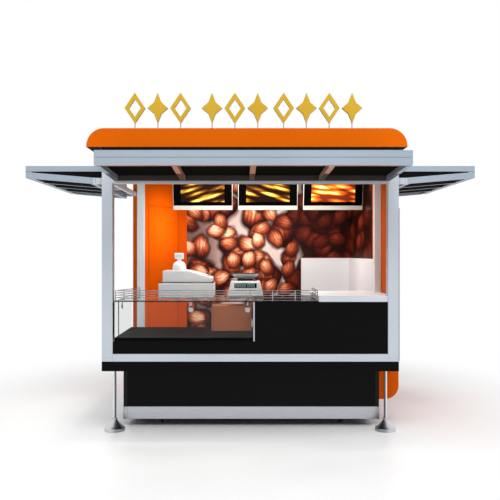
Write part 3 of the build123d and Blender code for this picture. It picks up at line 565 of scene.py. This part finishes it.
GRAPHIC = printed_graphic()
LED_GREEN = led_green()
PICTURES = [screen_picture("picture_one", DARK_TO_GOLD, (3.6, 22, 1), -0.3, (0.2, 0.4, 0)),
            screen_picture("picture_two", DARK_TO_GOLD, (3.6, 22, 1), 0.26, (3.1, 1.7, 0)),
            screen_picture("picture_three", RED_TO_CREAM, (4.6, 24, 1), 0.12, (6.4, 2.9, 0))]

# Each finish and the CAD nodes that take it
NODE_PAINTS = (
    (ALU_X, "bottom_rail ring_beam canopy_brackets"),
    (ALU_Z, "front_posts divider_edge front_legs"),
    (aluminium("aluminium_inner", "Z", INNER, 0.05), "inner_posts"),
    (canopy_metal(), "canopy_front_frame"),
    (wing_metal(), "canopy_left_frame canopy_right_frame"),
    (corner_steel(), "base_corner_profiles"),
    (roof_paint(), "roof"),
    # Each second pair is painted shade on the panels' inner faces
    (side_paint("orange_shell", -0.001, ((186, 76, 3), (194, 82, 4))), "shell_right"),
    (side_paint("orange_side", 0.5, ((182, 74, 3), (192, 82, 4))), "side_infills"),
    (painted("orange_paint", ORANGE, 0.42, 0.06), "back_wall door_surround door_leaf"),
    (painted("black_paint", BLACK, 0.42, 0.08), "base_walls cabinet_panels divider header_panels"),
    (painted("deep_black_paint", ((6, 7, 6), (9, 10, 9)), 0.45, 0.06),
     "deck front_band counter_front"),
    (painted("dull_black_paint", ((10, 9, 9), (13, 12, 11)), 0.6, 0.01), "display_floor"),
    (painted("black_infill", ((18, 17, 17), (24, 22, 21)), 0.5, 0.0), "canopy_infills"),
    (STEEL_X, "kick_strips door_handles scale_tray"),
    (STEEL_Z, "door_hinges_fixed door_hinges_moving"),
    (WIRE, "wire_gallery"),
    (CHROMED, "glass_clamps"),
    (clear_glass("clear_glass", (242, 244, 244)), "display_glass"),
    (clear_glass("glass_slab", (244, 250, 248), dark_edges=True), "glass_worktop"),
    (solid_surface(), "counter_top splash_panels"),
    (PLASTIC, "till customer_display scale_body screen_housings screen_hangers"),
    (SCREEN_BLACK, "screen_glass"),
    (GRAPHIC, "graphic_panels"),
    (board(), "display_box"),
    (TYRE, "castors"),
    (floor_sheet(), "base_floor"),
    (YELLOW, "roof_ornaments"),
)
EDGE_WIDTHS = {"display_glass": 0.001, "counter_top": 0.003, "roof": 0.004, "deck": 0.002,
               "graphic_panels": 0.0005}
PLAIN_EDGE = 0.0015
UNSOFTENED = ("castors", "wire_gallery", "glass_clamps", "till", "customer_display",
              "scale_body", "scale_tray", "screen_housings", "front_legs")


def dress_cad_nodes():
    """Gives each CAD node its finish and softens the edges of those that show."""
    for paint, names in NODE_PAINTS:
        for name in names.split():
            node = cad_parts[name]
            node.data.materials.clear()
            node.data.materials.append(paint.material)
            if name not in UNSOFTENED:
                soften(node, EDGE_WIDTHS.get(name, PLAIN_EDGE))


def soften(node, width):
    """Rounds an object's edges by modifiers."""
    node.modifiers.new("weld", "WELD").merge_threshold = 0.00001
    flat = node.modifiers.new("flat_faces", "DECIMATE")
    flat.decimate_type = "DISSOLVE"
    flat.angle_limit = math.radians(0.5)
    edges = node.modifiers.new("soft_edges", "BEVEL")
    edges.width = width
    edges.segments = 2
    edges.limit_method = "ANGLE"
    edges.angle_limit = math.radians(35)
    edges.harden_normals = True


def at(x, y, z):
    return Matrix.Translation((x, y, z))


def over(low, high, z):
    """A place at a height over the middle of a box."""
    return at((low.x + high.x) / 2, (low.y + high.y) / 2, z)


def facing(spot, direction):
    """Stands a shape on a spot, with its Z axis along a level direction and its Y axis up."""
    turn = Vector(direction).to_track_quat("Z", "Y").to_matrix().to_4x4()
    return at(*spot) @ turn


def splay_frame():
    """Turns (along the splayed wall, out from its inner line, up) into places."""
    turn = math.atan2(SPLAY_END[1] - SPLAY_START[1], SPLAY_END[0] - SPLAY_START[0])
    return at(*SPLAY_START, 0) @ Matrix.Rotation(turn, 4, "Z")


def mm(*points):
    """Points in millimetres as points in metres."""
    return [tuple(value / 1000 for value in point) for point in points]


def hexagon(radius):
    turns = [math.pi * step / 3 for step in range(6)]
    return [(radius * math.cos(turn), radius * math.sin(turn)) for turn in turns]


def round_rect(width, depth, radius, height, steps=6):
    """Points round a rectangle with rounded corners, at a height."""
    points = []
    for corner, (sx, sy) in enumerate(((1, 1), (-1, 1), (-1, -1), (1, -1))):
        for step in range(steps + 1):
            turn = math.pi / 2 * (corner + step / steps)
            points.append((sx * (width / 2 - radius) + radius * math.cos(turn),
                           sy * (depth / 2 - radius) + radius * math.sin(turn), height))
    return points


def solids(node):
    """Boxes of the separate solids in a CAD node, from left to right."""
    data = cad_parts[node].data
    keys = [tuple(round(value, 5) for value in vert.co) for vert in data.vertices]
    places = {key: vert.co for key, vert in zip(keys, data.vertices)}
    islands = []
    for polygon in data.polygons:
        island = {keys[index] for index in polygon.vertices}
        joined = [other for other in islands if other & island]
        islands = [other for other in islands if not other & island]
        islands.append(island.union(*joined))
    boxes = [[Vector(map(end, *(places[key] for key in island))) for end in (min, max)]
             for island in islands]
    return sorted(boxes, key=lambda pair: (round(pair[0].x, 4), round(pair[0].y, 4)))


class Mesher:
    """Gathers small solids in one mesh. Each has its own finish and rounded edges."""

    def __init__(self):
        self.mesh = bmesh.new()
        self.paints = []

    def settle(self, verts, paint, matrix, edge, segments):
        """Moves a new solid into place, paints it and rounds its sharp edges."""
        faces = {face for vert in verts for face in vert.link_faces}
        bmesh.ops.recalc_face_normals(self.mesh, faces=list(faces))
        bmesh.ops.transform(self.mesh, matrix=matrix, verts=verts)
        if paint not in self.paints:
            self.paints.append(paint)
        for face in faces:
            face.material_index = self.paints.index(paint)
            face.smooth = True
        if edge:
            sharp = {line for face in faces for line in face.edges
                     if line.is_manifold and line.calc_face_angle() > math.radians(32)}
            bmesh.ops.bevel(self.mesh, geom=list(sharp), offset=edge, segments=segments,
                            profile=0.5, affect="EDGES", clamp_overlap=True)

    def box(self, low, high, paint, edge=0.001, segments=2, matrix=Matrix()):
        """A block between two corners."""
        low, high = Vector(low), Vector(high)
        place = at(*(low + high) / 2) @ Matrix.Diagonal((*(high - low), 1))
        verts = bmesh.ops.create_cube(self.mesh, size=1, matrix=place)["verts"]
        self.settle(verts, paint, matrix, edge, segments)

    def blocks(self, matrix, *rows):
        """Blocks in millimetres: two corners, finish, edge radius and segments of each."""
        for low, high, paint, edge, segments in rows:
            self.box(*mm(low, high), paint, edge / 1000, segments, matrix)

    def lofted(self, rings, paint, matrix, edge=0.0, segments=2):
        """Rings of points, or tips of one point, joined one after another and closed."""
        made = [[self.mesh.verts.new(spot) for spot in ring] for ring in rings]
        sides = max(map(len, made))
        full = [ring * (sides // len(ring)) for ring in made]
        for lower, upper in zip(full, full[1:]):
            for step in range(sides):
                corners = dict.fromkeys((lower[step - 1], lower[step], upper[step],
                                         upper[step - 1]))
                if len(corners) > 2:
                    self.mesh.faces.new(list(corners))
        for ring in (made[0], made[-1]):
            if len(ring) > 1:
                self.mesh.faces.new(ring)
        self.settle([vert for ring in made for vert in ring], paint, matrix, edge, segments)

    def prism(self, outline, low, high, paint, edge, matrix, segments=2):
        """An outline in X and Y, carried from one height to another."""
        rings = [[(x, y, height) for x, y in outline] for height in (low, high)]
        self.lofted(rings, paint, matrix, edge, segments)

    def turned(self, profile, paint, sides, matrix):
        """A profile of (radius, height) points turned round the Z axis."""
        turns = [2 * math.pi * step / sides for step in range(sides)]
        rings = [[(radius * math.cos(turn), radius * math.sin(turn), height)
                  for turn in turns[:None if radius else 1]] for radius, height in profile]
        self.lofted(rings, paint, matrix)

    def rod(self, start, end, radius, paint, sides):
        """A round bar between two points."""
        run = Vector(end) - Vector(start)
        self.turned([(radius, 0), (radius, run.length)], paint, sides, facing(start, run))

    def screw(self, place, direction, paint, radius=0.005, height=0.0028):
        """A domed screw head with a round socket, standing on a face."""
        shares = ((1, 0), (1, 0.35), (0.86, 0.8), (0.6, 1), (0.45, 1), (0.45, 0.45), (0, 0.45))
        profile = [(radius * out, height * up) for out, up in shares]
        self.turned(profile, paint, 12, facing(place, direction))

    def finish(self, name, slot, *replaced, body=BODY):
        """Makes the gathered solids one piece that rides on a body."""
        data = bpy.data.meshes.new(name)
        self.mesh.to_mesh(data)
        self.mesh.free()
        for paint in self.paints:
            data.materials.append(paint.material)
        data.set_sharp_from_angle(angle=math.radians(50))
        piece = bpy.data.objects.new(name, data)
        bpy.context.scene.collection.objects.link(piece)
        normals = piece.modifiers.new("even_normals", "WEIGHTED_NORMAL")
        normals.keep_sharp = True
        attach(piece, body)
        if replaced:
            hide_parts(*replaced)


def studio():
    """Pale floor that fades to white, and a white world."""
    size = 40
    data = bpy.data.meshes.new("studio_floor")
    data.from_pydata([(-size, -size, 0), (size, -size, 0), (size, size, 0), (-size, size, 0)],
                     [], [(0, 1, 2, 3)])
    floor = bpy.data.objects.new("studio_floor", data)
    bpy.context.scene.collection.objects.link(floor)
    made = Finish("studio_floor", (255, 255, 255), 0.35, 0.35)
    made.gloss(made.noise(3), 0.3, 0.4)
    white = made.node("Emission", {"Color": (1, 1, 1, 1), "Strength": 1.0})
    length = made.vector("LENGTH", made.place((0.56, 0.5, 0)), output="Value")
    faded = made.times(made.span(length, 0.8, 2.1, smooth=True), made.shown())
    made.surface(made.node("MixShader", {0: faded, 1: made.shader.outputs[0],
                                         2: white[0]}))
    data.materials.append(made.material)

    world = bpy.data.worlds.new("studio")
    bpy.context.scene.world = world
    sky = Nodes(world)
    background = sky.nodes["Background"].inputs
    background["Color"].default_value = (1, 1, 1, 1)
    sky.links.new(sky.span(sky.shown(), 0, 1, WORLD_LEVEL, 1), background["Strength"])


def lamp(name, place, target, size, power, colour=(1, 1, 1), spread=180):
    """A soft lamp aimed at a point, which lights but isn't seen or mirrored."""
    data = bpy.data.lights.new(name, "AREA")
    data.shape = "RECTANGLE"
    data.size, data.size_y = size
    data.energy = power
    data.color = colour
    data.spread = math.radians(spread)
    light = bpy.data.objects.new(name, data)
    light.visible_camera = False
    light.visible_glossy = False
    light.location = place
    aim = Vector(target) - Vector(place)
    light.rotation_euler = aim.to_track_quat("-Z", "Y").to_euler()
    bpy.context.scene.collection.objects.link(light)


def camera():
    data = bpy.data.cameras.new("camera")
    data.lens = CAMERA_LENS
    data.sensor_width = 36
    data.shift_x, data.shift_y = CAMERA_SHIFT
    view = bpy.data.objects.new("camera", data)
    view.location = CAMERA_PLACE
    view.rotation_euler = (math.radians(90), 0, 0)
    bpy.context.scene.collection.objects.link(view)
    bpy.context.scene.camera = view


def make_legs():
    """Front legs with levelling feet."""
    made = Mesher()
    rim = mm((5, 0), (1, 2), (0, 6), (0, 22), (2, 26.5), (8, 29))
    cone = mm((68, 36.5), (58, 45.5), (48.5, 55), (39.5, 65), (31.5, 74.5), (24.5, 83.5),
              (20.5, 90), (19, 94), (0, 94))
    cap = mm((0, 16), (24, 16), (27, 13), (27, 0), (0, 0))
    for low, high in solids("front_legs"):
        place = over(low, high, 0)
        half, top = (high.x - low.x) / 2, high.z
        foot = [(0, 0), *[(half - inset, z) for inset, z in rim], *cone]
        made.turned(foot, FOOT_STEEL, 72, place)
        made.turned([(0, 0.092), (0.0135, 0.092), (0.0135, top - 0.014), (0, top - 0.014)],
                    LEG_CHROME, 48, place)
        made.prism(hexagon(0.0235), 0.0942, 0.106, STEEL_Z, 0.0012, place)
        made.turned([(radius, top - drop) for radius, drop in cap], ALU_Z, 48, place)
    made.finish("levelling_legs", "aluminium_frame", "front_legs")


def make_castors():
    """Twin-cheek swivel castors."""
    made = Mesher()
    plate, bolt = 0.006, 0.036
    tyre = mm((12, -15.5), (28, -15.5), (33, -14.8), (37.5, -12.5), (39.7, -7), (40, 0),
              (39.7, 7), (37.5, 12.5), (33, 14.8), (28, 15.5), (12, 15.5))
    hub = mm((0, -16.8), (11, -16.8), (24, -15.8), (26, -14.5), (26, 14.5), (24, 15.8),
             (11, 16.8), (0, 16.8))
    cheek = mm((-15, 33), (-9, 28), (9, 28), (15, 33), (28.5, 84), (28.5, 98), (-28.5, 98),
               (-28.5, 84))
    swivel = mm((0, 98), (25, 98), (27, 104), (30, 112), (36, 118), (38, 122), (38, 129))
    for low, high in solids("castors"):
        place = over(low, high, 0)
        under = high.z - plate
        axle = place @ at(0, 0, 0.04) @ Matrix.Rotation(math.pi / 2, 4, "Y")
        made.turned(tyre, TYRE, 48, axle)
        made.turned(hub, GREY, 32, axle)
        made.turned(mm((5, -25), (5, 25)), STEEL_X, 16, axle)
        for start in (-0.0225, 0.0190):
            made.prism(cheek, start, start + 0.0035, STEEL_Z, 0.0008,
                       place @ facing((0, 0, 0), (1, 0, 0)))
        for start in (-0.0265, 0.0225):
            made.prism(hexagon(0.0075), start, start + 0.004, STEEL_X, 0.0006, axle)
        made.blocks(place, ((-22.5, -28.5, 94), (22.5, 28.5, 98), STEEL_Z, 1, 2))
        made.turned(swivel + [(0.034, under + 0.0002), (0, under + 0.0002)], STEEL_Z, 40, place)
        made.box((low.x, low.y, under), high, STEEL_Z, 0.0012)
        for dx, dy in product((-bolt, bolt), repeat=2):
            made.screw(place @ Vector((dx, dy, under)), (0, 0, -1), WIRE, 0.006)
    made.finish("swivel_castors", "castor_black", "castors")


def make_gallery():
    """Low gallery of welded round wires on the worktop."""
    low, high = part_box("wire_gallery")
    made = Mesher()
    inset, taper, top = 0.004, 0.127, 0.083
    post = mm((0, 0), (9, 0), (9, 1.6), (3.5, 4), (3.2, 83.5), (2.2, 86.2), (0, 86.8))
    x0, x1, y0, y1 = low.x + inset, high.x - inset, low.y + inset, high.y - inset
    runs = (((x0, y0), (x1, y0), 9), ((x0, y0), (x0 + taper, y1), 3), ((x1, y0), (x1, y1), 3))
    for start, end, bays in runs:
        start, end = Vector((*start, low.z)), Vector((*end, low.z))
        for level in (0.005, 0.025, 0.045, 0.064, top):
            lift = Vector((0, 0, level))
            radius = 0.003 if level == top else 0.00255
            made.rod(start + lift, end + lift, radius, WIRE, 14)
        for bay in range(bays + 1):
            made.turned(post, WIRE, 16, at(*start.lerp(end, bay / bays)))
    made.finish("worktop_gallery", "chrome_wire", "wire_gallery")


def make_clamps():
    """Round glass clamps with a cap, a socket screw and a hook over the pane."""
    made = Mesher()
    cap = mm((0, 0), (20.5, 0), (21.8, 1.2), (21.8, 5.2), (20, 7.5), (16.5, 8.8), (5.8, 9),
             (4.8, 8.4), (4.8, 5.6), (0, 5.6))
    collar = mm((0, 0), (7.5, 0), (8.5, 0.8), (8.5, 5.6), (7.5, 6.6), (0, 6.6))
    for low, high in solids("glass_clamps"):
        size, middle = high - low, (low + high) / 2
        height = low.z + 0.022
        if size.x > size.y:
            place = facing((middle.x, high.y, height), FRONT)
        else:
            place = facing((high.x, middle.y, height), (-1, 0, 0))
        top = high.z - height
        made.turned(cap, CHROMED, 48, place)
        made.prism([(-0.0055, 0.018), (0.0055, 0.018), (0.0045, top), (-0.0045, top)],
                   0.0002, 0.0052, CHROMED, 0.001, place)
        made.turned(collar, DARK, 24, place @ at(0, 0.024, 0))
    made.finish("pane_clamps", "chrome_wire", "glass_clamps")


def make_screens():
    """Menu screens: housing with rear vents, dark pane and lit picture."""
    housings, panes = Mesher(), Mesher()
    tilt, height = math.radians(12), 0.378
    for picture, (low, high) in zip(PICTURES, solids("screen_housings")):
        spot = at((low.x + high.x) / 2, low.y + height * math.sin(tilt), low.z)
        place = spot @ Matrix.Rotation(tilt, 4, "X")
        housings.blocks(
            place, ((-296, 0, 0), (296, 24, 378), SCREEN_WHITE, 4, 4),
            ((-230, 22, 66), (230, 46, 312), SCREEN_WHITE, 9, 3),
            *[((-190, 45.5, z), (190, 46.4, z + 5), DARK, 0.3, 1) for z in range(200, 299, 11)],
            ((-150, 45.5, 90), (150, 46.4, 140), GREY, 0.4, 1),
            ((236, -0.8, 20), (244, 1, 23), LED_GREEN, 0.3, 1))
        panes.blocks(place, ((-291, -1, 44), (291, 3, 373), SCREEN_BLACK, 0.6, 2),
                     ((-216, -1.8, 82), (216, -0.8, 332), picture, 0, 1))
    housings.finish("menu_screens", "white_plastic", "screen_housings")
    panes.finish("menu_panes", "screen_black", "screen_glass")


def make_ornaments():
    """Yellow open lozenges and four-pointed stars on steel pins."""
    made = Mesher()
    tall, thick, bar, waist = 0.125, 0.015, 0.036, 0.52
    collar = mm((0, 0), (14, 0), (14, 2), (7, 5), (0, 5))
    turns = [math.radians(45 * step - 90) for step in range(8)]
    for index, (low, high) in enumerate(solids("roof_ornaments")):
        pin = over(low, high, low.z)
        half = (high.x - low.x) / 2
        place = over(low, high, high.z - tall) @ facing((0, 0, 0), FRONT)
        if index % 2 == 0:
            corners = [(0, -tall), (half, 0), (0, tall), (-half, 0)]
            inner = [(x * (1 - bar / half), y * (1 - bar / half)) for x, y in corners]
            for a in range(-1, 3):
                made.prism((corners[a], corners[a + 1], inner[a + 1], inner[a]), -thick, thick,
                           YELLOW, 0.0, place)
        else:
            points = [(half * share * math.cos(turn), tall * share * math.sin(turn))
                      for turn, share in zip(turns, (1, waist) * 4)]
            made.prism(points, -thick, thick, YELLOW, 0.0025, place)
        made.turned(mm((5, 0), (5, 46)), STEEL_Z, 20, pin)
        made.turned(collar, STEEL_Z, 24, pin)
    made.finish("ornaments", "ornament_yellow", "roof_ornaments")


def make_till():
    """Cash drawer with a till on it: sloped lid, keys, paper slot and operator display."""
    low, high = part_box("till")
    made = Mesher()
    lid, flat, level, wide = low.z + 0.13, low.z + 0.235, 0.22, 0.43
    right, front, back = high.x - 0.016, low.y + 0.016, high.y - 0.016
    left = right - wide
    made.box(low, (high.x, high.y, lid - 0.005), PLASTIC, 0.006, 3)
    made.box((low.x + 0.003, low.y + 0.003, lid - 0.006),
             (high.x - 0.003, high.y - 0.003, lid + 0.0012), DARK, 0.0005, 1)
    outline = [(left, lid + 0.001), (right, lid + 0.001), (right, lid + 0.044),
               (left + level, flat), (left, flat)]
    made.prism(outline, -back, -front, PLASTIC, 0.007, facing((0, 0, 0), FRONT), 3)
    slope = math.atan2(flat - lid - 0.044, wide - level)
    top = at(left + level, front, flat) @ Matrix.Rotation(slope, 4, "Y")
    deep = (back - front) * 1000
    made.blocks(top, ((30, 40, -1), (200, deep - 40, 0.8), GREY, 0.8, 1))
    for row, column in product(range(7), repeat=2):
        x, y = 36 + column * 22.5, 50 + row * 38
        paint = DARK if 6 in (column, row) else PLASTIC
        made.blocks(top, ((x, y, 0), (x + 18, y + 30, 4.2), paint, 1.2, 1))
    # On the level part: the paper lid, its slot and the operator's display
    made.blocks(at(left, back, flat), ((120, -160, -1), (200, -30, 3), PLASTIC, 1.5, 2),
                ((128, -100, 2), (192, -96, 3.4), DARK, 0.4, 1),
                ((30, -130, -1), (100, -40, 1.2), SCREEN_BLACK, 0.6, 1))
    lock = mm((0, 0), (11, 0), (11, 1), (8.5, 1.8), (2.2, 1.8), (2.2, 0.2), (0, 0.2))
    made.turned(lock, CHROMED, 28,
                facing((right - 0.05, high.y - 0.0002, low.z + 0.09), (0, 1, 0)))
    made.finish("cash_till", "white_plastic", "till")


def make_customer_display():
    """Domed foot, neck and small display box on the till."""
    low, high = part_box("customer_display")
    made = Mesher()
    place = over(low, high, low.z)
    tall = (high.z - low.z) * 1000
    dome = mm((0, 0), (60.5, 0), (61, 3), (60.3, 16), (58.8, 32), (56, 46), (51.5, 58),
              (45.5, 67), (38.5, 73.5), (30, 78), (21.5, 80), (18, 81.5), (17, 85), (17, 103),
              (0, 103))
    made.turned(dome, PLASTIC, 64, place)
    made.blocks(place, ((-40, -23, 100), (40, 23, tall), PLASTIC, 5, 4),
                ((-32, -23.8, 114), (32, -22, tall - 10), PALE_LCD, 0.8, 1))
    made.finish("customer_read_out", "white_plastic", "customer_display")


SEGMENTS = {"0": "abcdef", "1": "bc", "2": "abged", "5": "afgcd", "6": "afgedc", "8": "abcdefg"}


def digit(made, place, x, z, tall, sign):
    """One seven-segment digit that faces -Y, by its lower left corner, in millimetres."""
    wide, bar = tall * 0.5, tall * 0.11
    bars = {"a": (0, tall - bar, wide, tall), "g": (0, (tall - bar) / 2, wide, (tall + bar) / 2),
            "d": (0, 0, wide, bar), "f": (0, tall / 2, bar, tall), "e": (0, 0, bar, tall / 2),
            "b": (wide - bar, tall / 2, wide, tall), "c": (wide - bar, 0, wide, tall / 2)}
    for name in SEGMENTS[sign]:
        x0, z0, x1, z1 = bars[name]
        made.blocks(place, ((x + x0, -2.5, z + z0), (x + x1, -2, z + z1), DARK, 0, 1))


def make_scale():
    """Shop scale: body with a dark window, black neck and rubber feet."""
    low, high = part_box("scale_body")
    made = Mesher()
    x, top = (low.x + high.x) / 2, low.z + 0.14
    made.prism(mm((-158, -137), (158, -137), (129, 0), (-129, 0)), low.y - high.y, 0,
               PLASTIC, 0.008, facing((x, low.y, top), FRONT), 4)
    face = at(x, low.y, top)
    deep, tall = (high.y - low.y) * 1000, (high.z - top) * 1000
    made.blocks(face, ((-99.5, -1.2, -59), (99.5, 1, -16), SCREEN_BLACK, 1, 2),
                ((-75, 60, -1), (75, deep - 60, tall), DARK, 3, 2))
    for start, end, signs in ((-90, 3, "0125"), (14, 82, "680")):
        made.blocks(face, ((start, -2, -52), (end, -1, -23), LCD, 0.4, 1))
        step = (end - start - 12) / len(signs)
        for index, sign in enumerate(signs):
            digit(made, face, start + 8 + index * step, -47, 19, sign)
    made.blocks(face, *[((key - 7, -1.4, -83), (key + 7, 0.8, -73), GREY, 0.8, 1)
                        for key in range(-77, 78, 22)])
    foot = mm((0, 0), (11, 0), (12, 1.5), (12, 4.5), (0, 4.5))
    for dx, y in product((-0.12, 0.12), (low.y + 0.035, high.y - 0.035)):
        made.turned(foot, GASKET, 24, at(x + dx, y, low.z))
    made.finish("shop_scale", "white_plastic", "scale_body")


def make_pan():
    """The scale's steel pan with a rolled rim."""
    low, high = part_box("scale_tray")
    made = Mesher()
    wide, deep, tall = high - low
    foot, wall = 0.684, 0.0016
    # Each ring: share of the plan, how much less than that, corner radius and height
    rings = [round_rect(wide * share - less, deep * share - less, radius, height)
             for share, less, radius, height in (
                 (foot, 0.01, 0.018, 0), (foot, 0, 0.022, 0.003),
                 (1, 0.008, 0.03, tall - 0.002), (1, 0.002, 0.032, tall - 0.002),
                 (1, 0, 0.033, tall - 0.001), (1, 0.002, 0.032, tall), (1, 0.008, 0.03, tall),
                 (1, 0.011, 0.029, tall - 0.0015), (foot, 2 * wall, 0.021, 0.004 + wall),
                 (foot, 0.012, 0.017, wall))]
    made.lofted(rings, STEEL_X, over(low, high, low.z))
    made.finish("weighing_pan", "brushed_steel", "scale_tray")


def make_door_fittings():
    """Lever handles, lock roses, hinge screws and the seal round the door."""
    place = splay_frame()
    low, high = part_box("door_handles")
    middle, along, keyhole = (low.z + high.z) / 2, 0.603, 0.085
    rose = mm((0, 0), (24.6, 0), (25, 0.6), (25, 6.2), (23.6, 8))
    neck = mm((9.8, 8), (9, 10), (9, 50), (0, 50))
    socket = mm((10.5, 8), (9.8, 6.5), (0, 6.5))
    lever = mm((0, 0), (5.5, 0.6), (8.2, 3), (9, 6.5), (9, 113), (7.8, 119), (5, 122.8), (0, 124))
    made = Mesher()
    for face, side in ((SPLAY_THICK, 1), (SPLAY_THICK - LEAF_THICK, -1)):
        turn = place @ facing((along, face, middle), (0, side, 0))
        made.turned(rose + neck, STEEL_Z, 48, turn)
        made.turned(lever, STEEL_X, 32,
                    place @ facing((along + 0.009, face + side * 0.05, middle), (-1, 0, 0)))
        made.turned(rose + socket, STEEL_Z, 48, turn @ at(0, -keyhole, 0))
        made.blocks(place @ at(along, face + side * 0.0066, middle - keyhole),
                    ((-1.6, -0.4, -6), (1.6, 0.4, 6), DARK, 0.3, 1))
    made.finish("door_levers", "brushed_steel", "door_handles", body=DOOR)

    outward = place.to_3x3() @ Vector((0, 1, 0))
    for body, starts, rise, name in ((BODY, (0.039, 0.058), -0.017, "fixed_hinge_screws"),
                                     (DOOR, (0.086, 0.105), 0.018, "moving_hinge_screws")):
        made = Mesher()
        for hinge, start, step in product((0.332, 1.0825, 1.833), starts, (-0.009, 0.009)):
            spot = place @ Vector((start, SPLAY_THICK + 0.003, hinge + rise + step))
            made.screw(spot, outward, CHROMED, 0.0042, 0.0016)
        made.finish(name, "brushed_steel", body=body)

    made = Mesher()
    made.blocks(place, *[(low, high, SEAL_RUBBER, 1.2, 2) for low, high in (
        ((64, -4, 171), (80, 3.5, 1996)), ((658, -4, 171), (674, 3.5, 1996)),
        ((80.5, -4, 1980), (657.5, 3.5, 1996)), ((75.5, 12, 170.5), (662.5, 30, 179.2)))])
    made.finish("door_seal", "black_infill")


def make_canopy_fittings():
    """Cover strips in the side canopies' edge grooves and bolts on their brackets."""
    made = Mesher()
    groove, inset = 0.0475, 0.016
    for name, side in (("canopy_left_frame", -1), ("canopy_right_frame", 1)):
        low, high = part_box(name)
        edge = low.x if side < 0 else high.x
        middle = high.z - groove
        inside = sorted((edge - side * 0.0012, edge - side * 0.0038))
        made.box((inside[0], low.y + 0.001, middle - 0.0019),
                 (inside[1], high.y - 0.001, middle + 0.0019), GASKET, 0.0003, 1)
    for low, high in solids("canopy_brackets"):
        if high.y - low.y > 0.02:
            continue
        for share, z in product((0.3, 0.8), (low.z + inset, high.z - inset)):
            x = low.x + (high.x - low.x) * (share if low.x > 0 else 1 - share)
            made.screw((x, low.y, z), FRONT, STEEL_X, 0.0065)
    made.finish("canopy_fittings", "black_infill")


def make_frame_trims():
    """Gaskets beside the display pane and the posts, a bead on the side pane and screws."""
    made = Mesher()
    pane_low, pane_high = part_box("display_glass")
    left, right = [pair for pair in solids("front_posts") if pair[0].z < 1]
    made.box((left[1].x + 0.0003, pane_low.y - 0.001, pane_low.z),
             (pane_low.x - 0.0003, pane_low.y + 0.018, pane_high.z), GASKET, 0.0012)
    side_low, side_high = solids("display_glass")[1]
    joint = side_low.y + 0.12
    made.box((side_high.x + 0.0002, joint, side_low.z),
             (side_high.x + 0.0072, joint + 0.006, side_high.z), GASKET)
    rail_top, gasket_top = 0.606, 1.845
    made.box((right[1].x + 0.0002, right[0].y + 0.012, rail_top),
             (right[1].x + 0.007, right[0].y + 0.03, gasket_top), GASKET, 0.0012)
    for low, high in (left, right):
        x = (low.x + high.x) / 2
        for dx in (-0.026, 0.026):
            made.screw((x + dx, low.y, low.z + 0.03), FRONT, STEEL_Z, 0.0055, 0.002)
    made.finish("frame_trims", "black_infill")


def make_print_skirt():
    """The back wall's print, carried on below its panel as far as the display hides it."""
    low, high = min(solids("graphic_panels"), key=lambda pair: pair[0].x)
    made = Mesher()
    made.box((low.x, low.y, 0.62), (high.x, high.y, low.z - 0.0004), GRAPHIC, 0.0004)
    made.finish("print_skirt", "printed_graphic")


bpy.context.scene.view_settings.view_transform = "Standard"
camera()
studio()
for lamp_name, facts in LAMPS.items():
    lamp(lamp_name, *facts)
dress_cad_nodes()
make_legs()
make_castors()
make_gallery()
make_clamps()
make_screens()
make_ornaments()
make_till()
make_customer_display()
make_scale()
make_pan()
make_door_fittings()
make_canopy_fittings()
make_frame_trims()
make_print_skirt()
